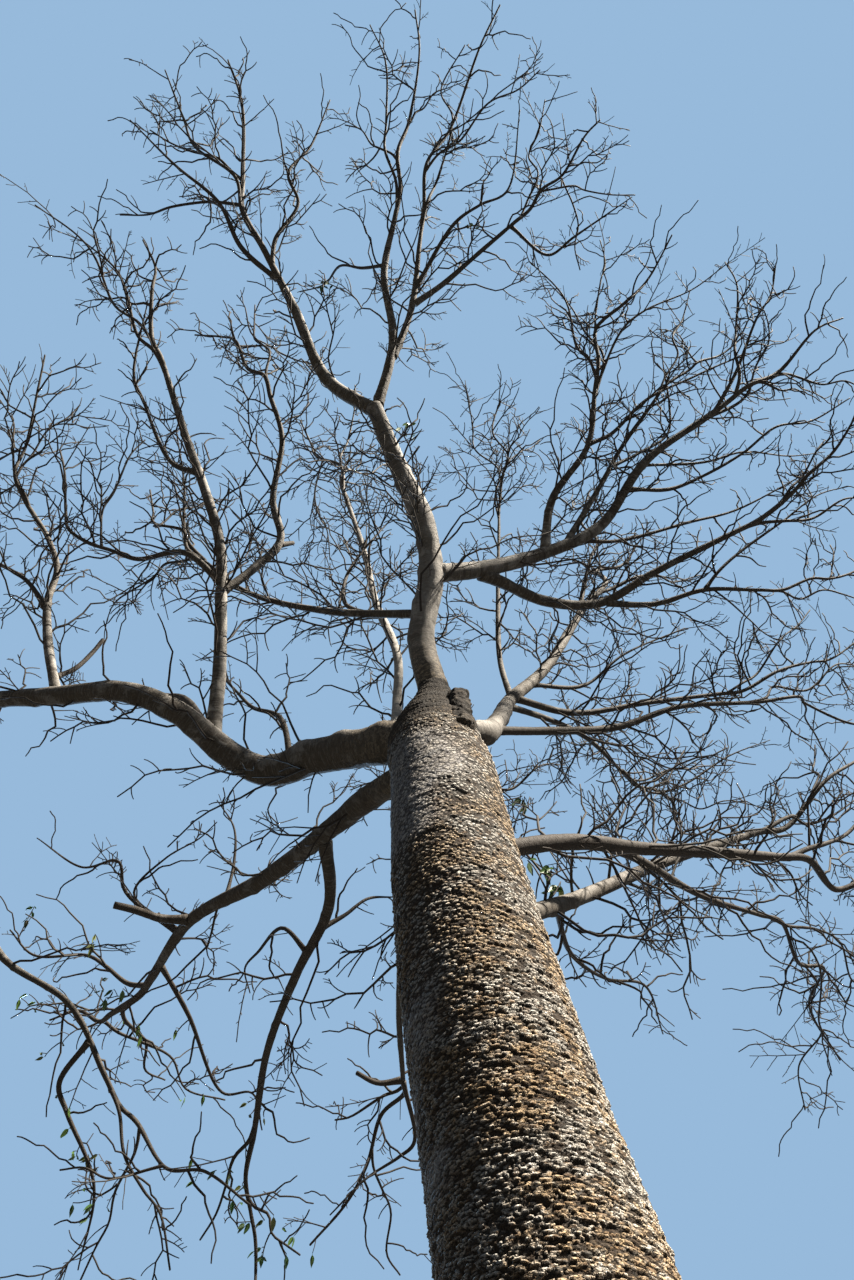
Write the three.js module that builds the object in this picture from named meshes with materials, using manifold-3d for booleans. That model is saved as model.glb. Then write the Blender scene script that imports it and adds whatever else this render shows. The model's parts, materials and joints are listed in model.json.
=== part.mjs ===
// A bare winter tree, rooted in level ground.
// Millimetres, +Z up. The origin is the middle of the flat cut under the trunk.
// The trunk leans to -X, and the seen side of the tree faces -Y.

import * as THREE from 'three';
import { mergeVertices } from 'three/addons/utils/BufferGeometryUtils.js';
import Module from 'manifold-3d';

const { Vector3 } = THREE;
const { degToRad, clamp, lerp } = THREE.MathUtils;
const wasm = await Module();
wasm.setup();

// The standing point
// The limbs are set out from one standing point beside the trunk. A sight is the column and the row
// at which a point of the limb shows from there, in a picture of 854 by 1280 squares.
// With a real height, a sight fixes one point of the tree.
const standSide = -1053;
const standBack = -3800;
const eyeHeight = 1600;
const lookUp = degToRad(68);
const pictureDepth = 924;
const middleColumn = 427;
const middleRow = 640;
const eye = new Vector3(standSide, standBack, eyeHeight);

// The trunk: its lean is a list of heights with the sideways place of its middle there.
const trunkHeight = 9780;
const trunkRadius = 533;
const trunkTaper = 0.0143;
const trunkLean = [[0, 0], [2000, -240], [4100, -540], [5500, -725], [7000, -865], [9780, -990]];
const trunkSides = 20;
const trunkRings = 17;
const shoulderHeight = 950;
const shoulderShare = 0.38;
const flareOut = 330;
const flareHeight = 620;
const flareLobes = 6;
const flareTurn = 0.6;
const lobeDepth = 0.24;

// The limbs: sections by thickness, a collar round each foot, and the gaps between the pieces.
// A cutter stands out a little more than the fit gap, so that its flat facets keep that gap too.
const fitGap = 0.3;
const cutGap = 0.37;
const ringSpacing = 520;
const fewestRings = 6;
const mostRings = 11;
const stoutLimb = 200;
const stoutSides = 8;
const middleLimb = 120;
const middleSides = 6;
const slimSides = 5;
const collarShare = 0.28;
const searchSteps = 240;

// The masses: a stem goes on from the limb's end, leads leave the stem, and twigs leave both.
const stemSides = 4;
const stemRings = 5;
const stemTip = 11;
const leadRings = 4;
const leadTip = 9;
const leadShare = 0.72;
const leadStart = 0.05;
const leadSpread = 0.42;
const leaveShare = 0.75;
const bendShare = 0.055;
const bowShare = 0.36;
const firstStretch = 0.14;
const courseBends = 5;

// The twigs
const twigSides = 3;
const twigRings = 2;
const twigSpacing = 850;
const twigReach = 1150;
const reachLoss = 0.6;
const reachChance = 0.28;
const twigShortest = 380;
const twigLongest = 0.6;
const twigAngle = degToRad(50);
const angleChance = 0.3;
const twigBend = degToRad(17);
const twigLift = 0.16;
const goldenTurn = degToRad(137.5);
const twigFoot = 15;
const twigPoint = 5;
const twigThinner = 0.8;

// The space of a mass
const limbClearance = 60;
const spaceMargin = 40;
const limbProbes = 24;
const spineProbes = 10;

const barkBrown = 0x8a6f4c;
const limbGrey = 0x8d8175;
const twigGrey = 0x4f453c;

// Each limb starts on the limb named in `from`, where that one passes its first sight, follows the
// other sights and rises evenly to `top`, the height of its end. `thick` is its diameter at foot and
// end. `spray` holds the furthest points of the twigs beyond it, as sights with heights: first the
// stem's, then those of its leads.
const limbs = [
  { name: 'leader', from: 'trunk', top: 12900, thick: [330, 205],
    seen: [[430, 690], [421, 640], [431, 575], [424, 525], [400, 470], [374, 407]] },
  { name: 'top_left', from: 'leader', top: 14600, thick: [170, 95],
    seen: [[376, 412], [326, 378], [295, 310], [277, 275]],
    spray: [[228, 60, 16900], [330, 100, 17000], [165, 70, 16400], [120, 215, 15600],
      [150, 130, 16000]] },
  { name: 'top_middle', from: 'leader', top: 15300, thick: [140, 65],
    seen: [[377, 411], [393, 340], [384, 274], [395, 217]],
    spray: [[415, 10, 17700], [370, 25, 17500], [345, 125, 16600], [440, 90, 17300]] },
  { name: 'top_right', from: 'top_middle', top: 15200, thick: [110, 60],
    seen: [[389, 372], [411, 310], [420, 240]],
    spray: [[500, 5, 17800], [465, 45, 17900], [540, 70, 17400], [450, 130, 17000]] },
  { name: 'top_right_side', from: 'top_right', top: 15600, thick: [80, 50],
    seen: [[411, 305], [443, 284], [480, 252], [515, 222]],
    spray: [[600, 120, 17100], [545, 100, 17300], [635, 195, 16500], [580, 270, 16000]] },
  { name: 'right', from: 'leader', top: 14200, thick: [190, 80],
    seen: [[436, 574], [481, 569], [535, 556], [600, 526], [645, 462], [707, 417]],
    spray: [[843, 318, 15900], [776, 263, 16500], [725, 262, 16800], [805, 395, 14900], [865, 390, 14900]] },
  { name: 'right_riser', from: 'right', top: 14300, thick: [110, 60],
    seen: [[545, 552], [552, 500], [588, 445], [595, 390]],
    spray: [[672, 235, 16900], [530, 262, 16300], [600, 240, 16900], [580, 330, 15500]] },
  { name: 'right_inner', from: 'right', top: 14600, thick: [80, 48],
    seen: [[565, 545], [603, 481], [620, 450], [655, 400]],
    spray: [[745, 335, 16300], [690, 290, 16800], [650, 330, 16000]] },
  { name: 'right_low', from: 'right', top: 12900, thick: [140, 70],
    seen: [[472, 570], [501, 582], [545, 601], [600, 603], [655, 572], [735, 532]],
    spray: [[862, 405, 14200], [872, 500, 13700], [825, 440, 14300], [795, 480, 13900]] },
  { name: 'right_low_side', from: 'right_low', top: 12500, thick: [80, 45],
    seen: [[600, 604], [655, 604], [704, 590], [760, 590]],
    spray: [[885, 550, 13400], [860, 600, 13100], [830, 545, 13500]] },
  { name: 'east', from: 'trunk', top: 13300, thick: [200, 105],
    seen: [[478, 733], [510, 700], [545, 669], [575, 622]],
    spray: [[640, 540, 16600], [590, 490, 17000], [700, 575, 15800], [545, 560, 16800]] },
  { name: 'east_low', from: 'east', top: 11200, thick: [90, 50],
    seen: [[487, 726], [545, 731], [617, 727], [678, 707], [740, 703]],
    spray: [[885, 722, 12400], [855, 665, 12700], [830, 760, 12200]] },
  { name: 'east_middle', from: 'east', top: 12200, thick: [85, 48],
    seen: [[514, 700], [574, 713], [646, 703], [718, 694]],
    spray: [[865, 635, 13700], [810, 610, 14000], [770, 640, 13400]] },
  { name: 'east_rear', from: 'east', top: 12000, thick: [75, 45],
    seen: [[507, 706], [553, 721], [588, 739], [625, 775]],
    spray: [[700, 835, 13300], [735, 765, 13500], [640, 850, 13200], [770, 810, 13100]] },
  { name: 'east_riser', from: 'east', top: 14500, thick: [75, 42],
    seen: [[512, 700], [500, 660], [498, 597], [499, 525]],
    spray: [[500, 400, 17100], [465, 385, 17200], [540, 440, 17200]] },
  { name: 'low_right', from: 'trunk', top: 8900, thick: [140, 85],
    seen: [[516, 849], [564, 842], [649, 849], [708, 852], [778, 857]],
    spray: [[905, 935, 10200], [895, 790, 10600], [860, 880, 10300]] },
  { name: 'low_right_rear', from: 'low_right', top: 9300, thick: [80, 48],
    seen: [[585, 845], [629, 855], [702, 896], [760, 915]],
    spray: [[840, 1060, 10100], [880, 985, 10400], [805, 1110, 9800]] },
  { name: 'low_right_pale', from: 'trunk', top: 9900, thick: [150, 80],
    seen: [[532, 917], [576, 899], [664, 862], [740, 838]],
    spray: [[885, 735, 12000], [855, 800, 11500], [815, 745, 12200]] },
  { name: 'left', from: 'trunk', top: 10300, thick: [360, 150],
    seen: [[384, 742], [315, 757], [268, 771], [230, 755], [178, 713], [125, 692], [55, 696], [-20, 700]],
    spray: [[-190, 650, 11900], [-150, 570, 12400], [-210, 740, 11300], [-130, 800, 10800]] },
  { name: 'left_riser', from: 'left', top: 13300, thick: [155, 75],
    seen: [[217, 735], [219, 674], [221, 600], [220, 545], [205, 490], [187, 440], [168, 380]],
    spray: [[143, 240, 15200], [82, 240, 15000], [35, 205, 15000], [95, 300, 14300]] },
  { name: 'left_riser_inner', from: 'left_riser', top: 13300, thick: [100, 55],
    seen: [[222, 592], [252, 570], [280, 541], [273, 500], [282, 438], [270, 395]],
    spray: [[195, 335, 14900], [255, 305, 15200], [325, 365, 14900]] },
  { name: 'left_riser_side', from: 'left_riser', top: 11500, thick: [80, 45],
    seen: [[221, 583], [185, 553], [137, 559], [110, 550]],
    spray: [[60, 450, 12900], [145, 440, 13200], [30, 590, 12200]] },
  { name: 'far_left', from: 'left', top: 12500, thick: [110, 55],
    seen: [[56, 690], [48, 641], [48, 600], [57, 570], [48, 538], [34, 515]],
    spray: [[45, 355, 14300], [0, 400, 14000], [80, 405, 14200], [-65, 510, 13600]] },
  { name: 'low_left', from: 'trunk', top: 9300, thick: [230, 85],
    seen: [[384, 760], [366, 800], [329, 830], [264, 879], [191, 920], [150, 980]],
    spray: [[50, 1020, 10000], [10, 930, 10300], [165, 1080, 9600], [225, 1100, 9300]] },
  { name: 'low_left_rear', from: 'low_left', top: 8300, thick: [120, 60],
    seen: [[334, 846], [329, 905], [296, 975], [267, 1052], [256, 1120]],
    spray: [[255, 1300, 7300], [200, 1240, 7600], [300, 1255, 7500]] },
  { name: 'outer_left', from: 'left', top: 8600, thick: [110, 50],
    seen: [[0, 698], [-35, 790], [-25, 880], [0, 954], [70, 1005], [106, 1078]],
    spray: [[250, 1205, 7200], [170, 1270, 7200], [76, 1290, 7500], [60, 1170, 8000]] },
  { name: 'rear_left', from: 'trunk', top: 8600, thick: [90, 50],
    seen: [[436, 812], [425, 860], [405, 930], [399, 1008], [403, 1080]],
    spray: [[310, 1245, 7900], [335, 1120, 8700], [400, 1275, 8000]] },
  { name: 'rear', from: 'trunk', top: 13600, thick: [200, 95],
    seen: [[440, 770], [448, 812], [455, 832], [455, 805]],
    spray: [[475, 735, 16500], [565, 765, 15900], [350, 790, 15500], [395, 700, 16700]] },
  { name: 'inner', from: 'trunk', top: 14900, thick: [120, 60],
    seen: [[400, 715], [398, 660], [375, 600], [365, 554], [345, 495]],
    spray: [[300, 420, 17000], [355, 385, 17300], [395, 470, 17200], [330, 560, 16700]] },
  { name: 'inner_left', from: 'leader', top: 11900, thick: [95, 50],
    seen: [[412, 611], [326, 611], [247, 592], [205, 562]],
    spray: [[150, 490, 13500], [110, 610, 12600], [225, 500, 13800]] },
];

// The rule of chance: from a seed and a count follows one whole number below the modulus.
const seedTree = 20611;
const chanceModulus = 2147483647;
const innerModulus = 2147483399;

function nextSeed(seed, count) {
  const mixed = (seed * 48271 + (count + 1) * 69621) % chanceModulus;
  const stirred = ((mixed % innerModulus) * 40692) % innerModulus;
  return (stirred * 16807) % chanceModulus;
}

// A share of chance between -1 and 1.
function spread(seed, count) {
  return (2 * nextSeed(seed, count)) / chanceModulus - 1;
}

// The point that shows at a column and a row and lies at a height.
function sighted(column, row, height) {
  const right = (column - middleColumn) / pictureDepth;
  const up = (middleRow - row) / pictureDepth;
  const away = Math.cos(lookUp) - up * Math.sin(lookUp);
  const upward = Math.sin(lookUp) + up * Math.cos(lookUp);
  const ray = new Vector3(right, away, upward);
  return eye.clone().addScaledVector(ray, (height - eyeHeight) / upward);
}

// The column and the row at which a point shows.
function shown(point) {
  const run = point.clone().sub(eye);
  const depth = run.y * Math.cos(lookUp) + run.z * Math.sin(lookUp);
  const rise = run.z * Math.cos(lookUp) - run.y * Math.sin(lookUp);
  return [middleColumn + (pictureDepth * run.x) / depth, middleRow - (pictureDepth * rise) / depth];
}

function pictureDistance(first, second) {
  return Math.hypot(first[0] - second[0], first[1] - second[1]);
}

function smoothCourse(points) {
  return new THREE.CatmullRomCurve3(points, false, 'centripetal');
}

// A closed unit cylinder or cone reduced to its places, with every shared corner merged.
function plainUnit(geometry) {
  geometry.deleteAttribute('normal');
  geometry.deleteAttribute('uv');
  return mergeVertices(geometry);
}

// Bends a unit cylinder or cone along a course. Its height runs the course from 0 to 1, and each
// of its rings stands square to the course at the radius that is asked for there.
// The first and last rings can be carried on past the ends of the course by an overrun.
function bendAlong(geometry, course, rings, radiusAt, overrun = 0) {
  const bent = plainUnit(geometry);
  const frames = course.computeFrenetFrames(rings, false);
  const place = bent.getAttribute('position');
  const corner = new Vector3();
  for (let index = 0; index < place.count; index += 1) {
    corner.fromBufferAttribute(place, index);
    const along = clamp(0.5 + corner.y, 0, 1);
    const ring = Math.round(along * rings);
    const across = Math.hypot(corner.x, corner.z);
    const radius = across > 0 ? radiusAt(along) / across : 0;
    const point = course.getPointAt(along);
    if (ring === 0) point.addScaledVector(frames.tangents[ring], -overrun);
    if (ring === rings) point.addScaledVector(frames.tangents[ring], overrun);
    point.addScaledVector(frames.normals[ring], corner.z * radius);
    point.addScaledVector(frames.binormals[ring], corner.x * radius);
    place.setXYZ(index, point.x, point.y, point.z);
  }
  return bent;
}

function toSolid(geometry) {
  const mesh = new wasm.Mesh({
    numProp: 3,
    vertProperties: new Float32Array(geometry.getAttribute('position').array),
    triVerts: new Uint32Array(geometry.getIndex().array),
  });
  return new wasm.Manifold(mesh);
}

function toGeometry(solid) {
  const mesh = solid.getMesh();
  const geometry = new THREE.BufferGeometry();
  geometry.setAttribute('position', new THREE.BufferAttribute(new Float32Array(mesh.vertProperties), 3));
  geometry.setIndex(new THREE.BufferAttribute(new Uint32Array(mesh.triVerts), 1));
  return geometry;
}

// The largest of the separate pieces of a solid.
function mainPiece(solid) {
  return solid.decompose().reduce((best, piece) => (piece.volume() > best.volume() ? piece : best));
}

function boxOf(solid) {
  const { min, max } = solid.boundingBox();
  return new THREE.Box3(new Vector3(...min), new Vector3(...max));
}

// The trunk's radius at a height: an even taper that ends in a round shoulder.
function trunkGirth(height) {
  const taper = trunkRadius - trunkTaper * height;
  const shoulder = Math.max(0, 1 - (trunkHeight - height) / shoulderHeight);
  const round = 1 - Math.sqrt(1 - Math.min(1, shoulder * shoulder));
  return taper * (1 - (1 - shoulderShare) * round);
}

// How far the root flare stands out at a height and a turn round the trunk.
function flareAt(height, turn) {
  const fade = Math.exp(-height / flareHeight);
  return flareOut * fade * (1 + lobeDepth * Math.cos(flareLobes * turn + flareTurn));
}

// The sideways place of the trunk's middle at a height.
function trunkSide(points, height) {
  const above = Math.max(1, points.findIndex((point) => point.z >= height));
  const low = points[above - 1];
  const high = points[above];
  return lerp(low.x, high.x, (height - low.z) / (high.z - low.z));
}

// The height of a ring of the trunk, with the rings closer together at the flare and the shoulder.
function ringHeight(share) {
  const low = 2 * share * share;
  const high = 0.5 + 0.5 * Math.sin((share - 0.5) * Math.PI);
  return trunkHeight * (share < 0.5 ? low : high);
}

// The trunk in level rings round its leaning middle, or the same a little larger as a cutter.
function trunkSolid(course, extra) {
  const unit = plainUnit(new THREE.CylinderGeometry(1, 1, 1, trunkSides, trunkRings));
  const points = course.getPoints(searchSteps);
  const place = unit.getAttribute('position');
  const corner = new Vector3();
  for (let index = 0; index < place.count; index += 1) {
    corner.fromBufferAttribute(place, index);
    const share = clamp(0.5 + corner.y, 0, 1);
    const height = Math.min(ringHeight(share), trunkHeight);
    const turn = Math.atan2(corner.z, corner.x);
    const onAxis = corner.x === 0 && corner.z === 0;
    const radius = onAxis ? 0 : trunkGirth(height) + flareAt(height, turn) + extra;
    const lift = share === 1 ? extra : 0;
    const side = trunkSide(points, height) + radius * Math.cos(turn);
    place.setXYZ(index, side, -radius * Math.sin(turn), height + lift);
  }
  return toSolid(unit);
}

// Where a limb starts: the point of its parent's course that shows nearest to its first sight.
function footOn(parent, sight) {
  const gap = (point) => pictureDistance(shown(point), sight);
  const points = parent.course.getPoints(searchSteps);
  return points.reduce((best, point) => (gap(point) < gap(best) ? point : best));
}

// A limb's course: from its foot through its other sights, rising evenly along the way that shows.
function limbCourse(limb, parent) {
  const [leaving, ...sights] = limb.seen;
  const foot = footOn(parent, leaving);
  const ways = [0];
  let before = shown(foot);
  for (const sight of sights) {
    ways.push(ways.at(-1) + pictureDistance(before, sight));
    before = sight;
  }
  const points = sights.map(([column, row], index) => {
    return sighted(column, row, lerp(foot.z, limb.top, ways[index + 1] / ways.at(-1)));
  });
  return smoothCourse([foot, ...points]);
}

// The radius along a limb: an even taper with a collar at its foot.
function limbRadius(limb, along) {
  const [foot, end] = limb.thick;
  const collar = 1 + collarShare * Math.exp((-along * limb.length) / foot);
  return 0.5 * lerp(foot, end, along) * collar;
}

function sidesOf(limb) {
  if (limb.thick[0] >= stoutLimb) return stoutSides;
  return limb.thick[0] >= middleLimb ? middleSides : slimSides;
}

// A limb as one tapering bent stick, or the same a little larger as a cutter.
function limbSolid(limb, extra) {
  const rings = clamp(Math.round(limb.length / ringSpacing), fewestRings, mostRings);
  const unit = new THREE.CylinderGeometry(1, 1, 1, sidesOf(limb), rings);
  const radiusAt = (along) => limbRadius(limb, along) + extra;
  return toSolid(bendAlong(unit, limb.course, rings, radiusAt, extra));
}

// A course from a point to an aim that leaves along a direction, with small bends by chance.
function bentCourse(start, direction, aim, seed) {
  const run = start.distanceTo(aim);
  const middle = start.clone().addScaledVector(direction, run * bowShare);
  const points = new THREE.QuadraticBezierCurve3(start, middle, aim).getPoints(courseBends);
  for (let index = 2; index < courseBends; index += 1) {
    const bend = new Vector3(spread(seed, index), spread(seed, index + 10), spread(seed, index + 20));
    points[index].addScaledVector(bend, run * bendShare);
  }
  points[1].copy(start).addScaledVector(direction, run * firstStretch);
  return smoothCourse(points);
}

// The stem of a mass: it goes on from its limb's end, one fit gap away, to the first of the aims.
function stemOf(limb, seed) {
  const onward = limb.course.getTangentAt(1);
  const start = limb.course.getPointAt(1).addScaledVector(onward, fitGap);
  const course = bentCourse(start, onward, sighted(...limb.spray[0]), seed);
  return { course, seed, from: 0.5 * limb.thick[1], to: stemTip };
}

// A lead leaves the stem on its way and reaches one of the other aims.
function leadOf(stem, aim, share, seed) {
  const foot = stem.course.getPointAt(share);
  const away = sighted(...aim).sub(foot).normalize();
  const leave = stem.course.getTangentAt(share).lerp(away, leaveShare).normalize();
  const course = bentCourse(foot, leave, sighted(...aim), seed);
  return { course, seed, from: lerp(stem.from, stem.to, share) * leadShare, to: leadTip };
}

// The spine of a mass: its stem and its leads.
function spineOf(limb, order) {
  const stem = stemOf(limb, nextSeed(seedTree, order));
  const aims = limb.spray.slice(1);
  const leads = aims.map((aim, index) => {
    const share = leadStart + (leadSpread * index) / Math.max(1, aims.length - 1);
    return leadOf(stem, aim, share, nextSeed(stem.seed, index + 40));
  });
  return [stem, ...leads];
}

// A direction square to another, turned round it.
function squareTo(direction, turn) {
  const helper = Math.abs(direction.z) > 0.9 ? new Vector3(1, 0, 0) : new Vector3(0, 0, 1);
  return new Vector3().crossVectors(direction, helper).normalize().applyAxisAngle(direction, turn);
}

// A direction turned away from another by an angle, and lifted a little.
function turnedFrom(direction, side, angle) {
  const turned = direction.clone().multiplyScalar(Math.cos(angle)).addScaledVector(side, Math.sin(angle));
  turned.z += twigLift;
  return turned.normalize();
}

// One twig of a spine piece: it leaves at a share of the way and bends once, at its middle.
function twigOf(piece, index, share) {
  const seed = nextSeed(piece.seed, index + 100);
  const foot = piece.course.getPointAt(share);
  const onward = piece.course.getTangentAt(share);
  const side = squareTo(onward, goldenTurn * index + spread(seed, 2));
  const first = turnedFrom(onward, side, twigAngle * (1 + angleChance * spread(seed, 3)));
  const second = turnedFrom(first, squareTo(first, Math.PI * spread(seed, 5)), twigBend);
  const wanted = twigReach * (1 + reachLoss * (0.2 - share)) * (1 + reachChance * spread(seed, 4));
  const reach = Math.max(twigShortest, Math.min(wanted, twigLongest * piece.course.getLength()));
  const middle = foot.clone().addScaledVector(first, reach / 2);
  const end = middle.clone().addScaledVector(second, reach / 2);
  const local = lerp(piece.from, piece.to, share);
  return { points: [foot, middle, end], from: Math.min(twigFoot, local * twigThinner) };
}

// The twigs of a spine piece leave it one after another, turned round it by the golden angle.
function twigsOf(piece) {
  const count = Math.max(2, Math.round(piece.course.getLength() / twigSpacing));
  return Array.from({ length: count }, (_, index) => {
    const uneven = 0.35 * spread(nextSeed(piece.seed, index + 100), 1);
    return twigOf(piece, index, Math.min(0.97, (index + 0.75 + uneven) / (count + 0.25)));
  });
}

function nearest(point, probes) {
  return probes.reduce((best, probe) => Math.min(best, point.distanceTo(probe)), Infinity);
}

// A twig keeps to its mass's own space: nearer to its own spine than to any other, clear of every
// limb, and above the reach of a hand.
function keepsSpace(twig, own, others, limbSpots) {
  const [foot, middle, end] = twig.points;
  const spots = [foot.clone().lerp(middle, 0.6), middle, middle.clone().lerp(end, 0.5), end];
  return spots.every((spot) => {
    const inSpace = nearest(spot, own) + spaceMargin < nearest(spot, others);
    const clear = limbSpots.every(({ point, radius }) => spot.distanceTo(point) > radius + limbClearance);
    return inSpace && clear && spot.z > eyeHeight;
  });
}

// A stem, a lead or a twig as a tapering stick.
function stick(unit, course, rings, from, to) {
  return toSolid(bendAlong(unit, course, rings, (along) => lerp(from, to, along)));
}

function stemSolid({ course, from, to }) {
  return stick(new THREE.CylinderGeometry(1, 1, 1, stemSides, stemRings), course, stemRings, from, to);
}

function leadSolid({ course, from, to }) {
  return stick(new THREE.CylinderGeometry(1, 1, 1, twigSides, leadRings), course, leadRings, from, to);
}

function twigSolid({ points, from }) {
  const unit = new THREE.ConeGeometry(1, 1, twigSides, twigRings);
  return stick(unit, smoothCourse(points), twigRings, from, twigPoint);
}

// A mass: its stem, leads and twigs joined, and cut clear of the limb that carries it.
function massSolid({ limb, spine, probes }, others, limbSpots) {
  const [stem, ...leads] = spine;
  const twigs = spine.flatMap(twigsOf).filter((twig) => keepsSpace(twig, probes, others, limbSpots));
  const sticks = [stemSolid(stem), ...leads.map(leadSolid), ...twigs.map(twigSolid)];
  return mainPiece(wasm.Manifold.union(sticks).subtract(limb.cutter));
}

function named(name, solid, color, roughness) {
  const material = new THREE.MeshStandardMaterial({ color, roughness, metalness: 0 });
  const mesh = new THREE.Mesh(toGeometry(solid), material);
  mesh.name = name;
  return mesh;
}

// The trunk, first of the pieces that the limbs grow on and are cut clear of
function growTrunk(tree) {
  const course = smoothCourse(trunkLean.map(([height, side]) => new Vector3(side, 0, height)));
  tree.add(named('trunk', trunkSolid(course, 0), barkBrown, 0.95));
  return { name: 'trunk', course, cutter: trunkSolid(course, cutGap) };
}

// The limbs, each cut clear of the trunk and of the limbs before it
function growLimbs(tree, trunk) {
  const placed = [trunk];
  for (const limb of limbs) {
    limb.course = limbCourse(limb, placed.find((other) => other.name === limb.from));
    limb.length = limb.course.getLength();
    limb.cutter = limbSolid(limb, cutGap);
    let solid = limbSolid(limb, 0);
    for (const other of placed) {
      const meets = boxOf(solid).intersectsBox(boxOf(other.cutter));
      if (meets) solid = mainPiece(solid.subtract(other.cutter));
    }
    placed.push(limb);
    tree.add(named(`${limb.name}_bough`, solid, limbGrey, 0.85));
  }
}

// What the twigs keep clear of: spots along every limb, with its radius there
function spotsOnLimbs() {
  return limbs.flatMap((limb) => limb.course.getSpacedPoints(limbProbes).map((point, index) => {
    return { point, radius: limbRadius(limb, index / limbProbes) };
  }));
}

// The masses of twigs, one at the end of each limb that has a spray
function growMasses(tree) {
  const limbSpots = spotsOnLimbs();
  const masses = limbs.filter((limb) => limb.spray).map((limb, order) => {
    const spine = spineOf(limb, order);
    return { limb, spine, probes: spine.flatMap((piece) => piece.course.getSpacedPoints(spineProbes)) };
  });
  for (const mass of masses) {
    const others = masses.filter((other) => other !== mass).flatMap((other) => other.probes);
    tree.add(named(`${mass.limb.name}_twigs`, massSolid(mass, others, limbSpots), twigGrey, 0.9));
  }
}

const tree = new THREE.Group();
growLimbs(tree, growTrunk(tree));
growMasses(tree);

export default tree;
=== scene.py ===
"""A bare winter tree: flaky trunk, wrinkled boughs, crooked twigs and the last few leaves.

Metres, +Z up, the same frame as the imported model. The limbs and the masses of twigs grow here by
the same sights and the same rule of chance as the solids, and go on to finer twigs.
"""

import json
import math

import bpy
import numpy as np
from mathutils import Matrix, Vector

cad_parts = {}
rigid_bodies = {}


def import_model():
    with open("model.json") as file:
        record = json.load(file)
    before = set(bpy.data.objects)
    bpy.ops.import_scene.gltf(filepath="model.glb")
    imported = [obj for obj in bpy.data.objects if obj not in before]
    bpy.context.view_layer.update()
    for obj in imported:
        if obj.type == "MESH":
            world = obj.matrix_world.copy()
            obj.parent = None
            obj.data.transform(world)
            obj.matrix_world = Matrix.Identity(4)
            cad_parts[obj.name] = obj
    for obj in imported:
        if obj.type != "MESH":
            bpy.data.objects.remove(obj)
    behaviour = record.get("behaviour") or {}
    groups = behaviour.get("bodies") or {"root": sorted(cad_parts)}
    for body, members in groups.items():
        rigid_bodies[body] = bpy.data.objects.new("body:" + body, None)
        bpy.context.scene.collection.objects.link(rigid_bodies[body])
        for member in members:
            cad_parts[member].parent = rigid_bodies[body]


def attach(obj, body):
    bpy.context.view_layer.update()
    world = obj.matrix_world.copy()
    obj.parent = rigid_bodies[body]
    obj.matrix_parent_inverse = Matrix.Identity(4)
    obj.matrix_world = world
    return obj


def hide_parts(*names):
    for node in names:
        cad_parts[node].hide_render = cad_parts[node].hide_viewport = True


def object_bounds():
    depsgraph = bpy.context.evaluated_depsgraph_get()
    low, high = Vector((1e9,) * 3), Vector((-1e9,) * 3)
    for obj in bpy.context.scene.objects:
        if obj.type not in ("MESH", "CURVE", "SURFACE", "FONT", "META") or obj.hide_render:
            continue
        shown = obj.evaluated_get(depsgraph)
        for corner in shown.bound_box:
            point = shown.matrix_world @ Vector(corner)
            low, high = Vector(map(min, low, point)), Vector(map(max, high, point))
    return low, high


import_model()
cad_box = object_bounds()

bl_info = {
    "name": "Bare Winter Tree",
    "version": (1, 0, 0),
    "blender": (4, 5, 0),
    "location": "3D View > Sidebar > Bare Tree",
    "description": "Builds the bark, boughs, twigs and last leaves of a bare winter tree",
    "category": "Add Mesh",
}

# The standing point. A sight is the column and the row at which a point shows from there, in a
# picture of 854 by 1280 squares. With a real height, a sight fixes one point of the tree.
EYE = np.array([-1.053, -3.8, 1.6])
LOOK_UP = math.radians(68)
PICTURE_DEPTH = 924
PICTURE_LONG_SIDE = 1280
MIDDLE_COLUMN = 427
MIDDLE_ROW = 640
SENSOR = 36

# The trunk: its lean is a list of heights with the sideways place of its middle there.
TRUNK_HEIGHT = 9.78
TRUNK_RADIUS = 0.533
TRUNK_TAPER = 0.0143
TRUNK_LEAN = [(0, 0), (2.0, -0.24), (4.1, -0.54), (5.5, -0.725), (7.0, -0.865), (9.78, -0.99)]
SHOULDER_HEIGHT = 0.95
SHOULDER_SHARE = 0.38
FLARE_OUT = 0.33
FLARE_HEIGHT = 0.62
FLARE_LOBES = 6
FLARE_TURN = 0.6
LOBE_DEPTH = 0.24

# The limbs and the spines of the masses
COLLAR_SHARE = 0.28
SEARCH_STEPS = 240
FIT_GAP = 0.0003
STEM_TIP = 0.011
LEAD_TIP = 0.009
LEAD_SHARE = 0.72
LEAD_START = 0.05
LEAD_SPREAD = 0.42
LEAVE_SHARE = 0.75
BEND_SHARE = 0.055
BOW_SHARE = 0.36
FIRST_STRETCH = 0.14
COURSE_BENDS = 5
BEND_DRAWS = (0, 10, 20)
COURSE_PROBES = 201

# Small numbers that keep a direction sound: the share between two points that give a heading, a
# nudge off zero, and the shortest length to divide by. Above Steep a heading counts as upright.
SMALL_STEP = 1e-4
NUDGE = 1e-6
SMALL_NUDGE = 1e-9
SHORTEST = 1e-12
STEEP = 0.9

# The coarse twigs of the rule
TWIG_SPACING = 0.85
TWIG_REACH = 1.15
REACH_LOSS = 0.6
REACH_CHANCE = 0.28
TWIG_SHORTEST = 0.38
TWIG_LONGEST = 0.6
TWIG_ANGLE = math.radians(50)
ANGLE_CHANCE = 0.3
TWIG_BEND = math.radians(17)
TWIG_LIFT = 0.16
TWIG_UNEVEN = 0.35
FIRST_TWIG = 0.75
LAST_TWIG = 0.97
END_ROOM = 0.25
FULL_REACH_AT = 0.2
GOLDEN_TURN = math.radians(137.5)
LIMB_CLEARANCE = 0.06
SPACE_MARGIN = 0.04
LIMB_PROBES = 24
SPINE_PROBES = 10

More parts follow.
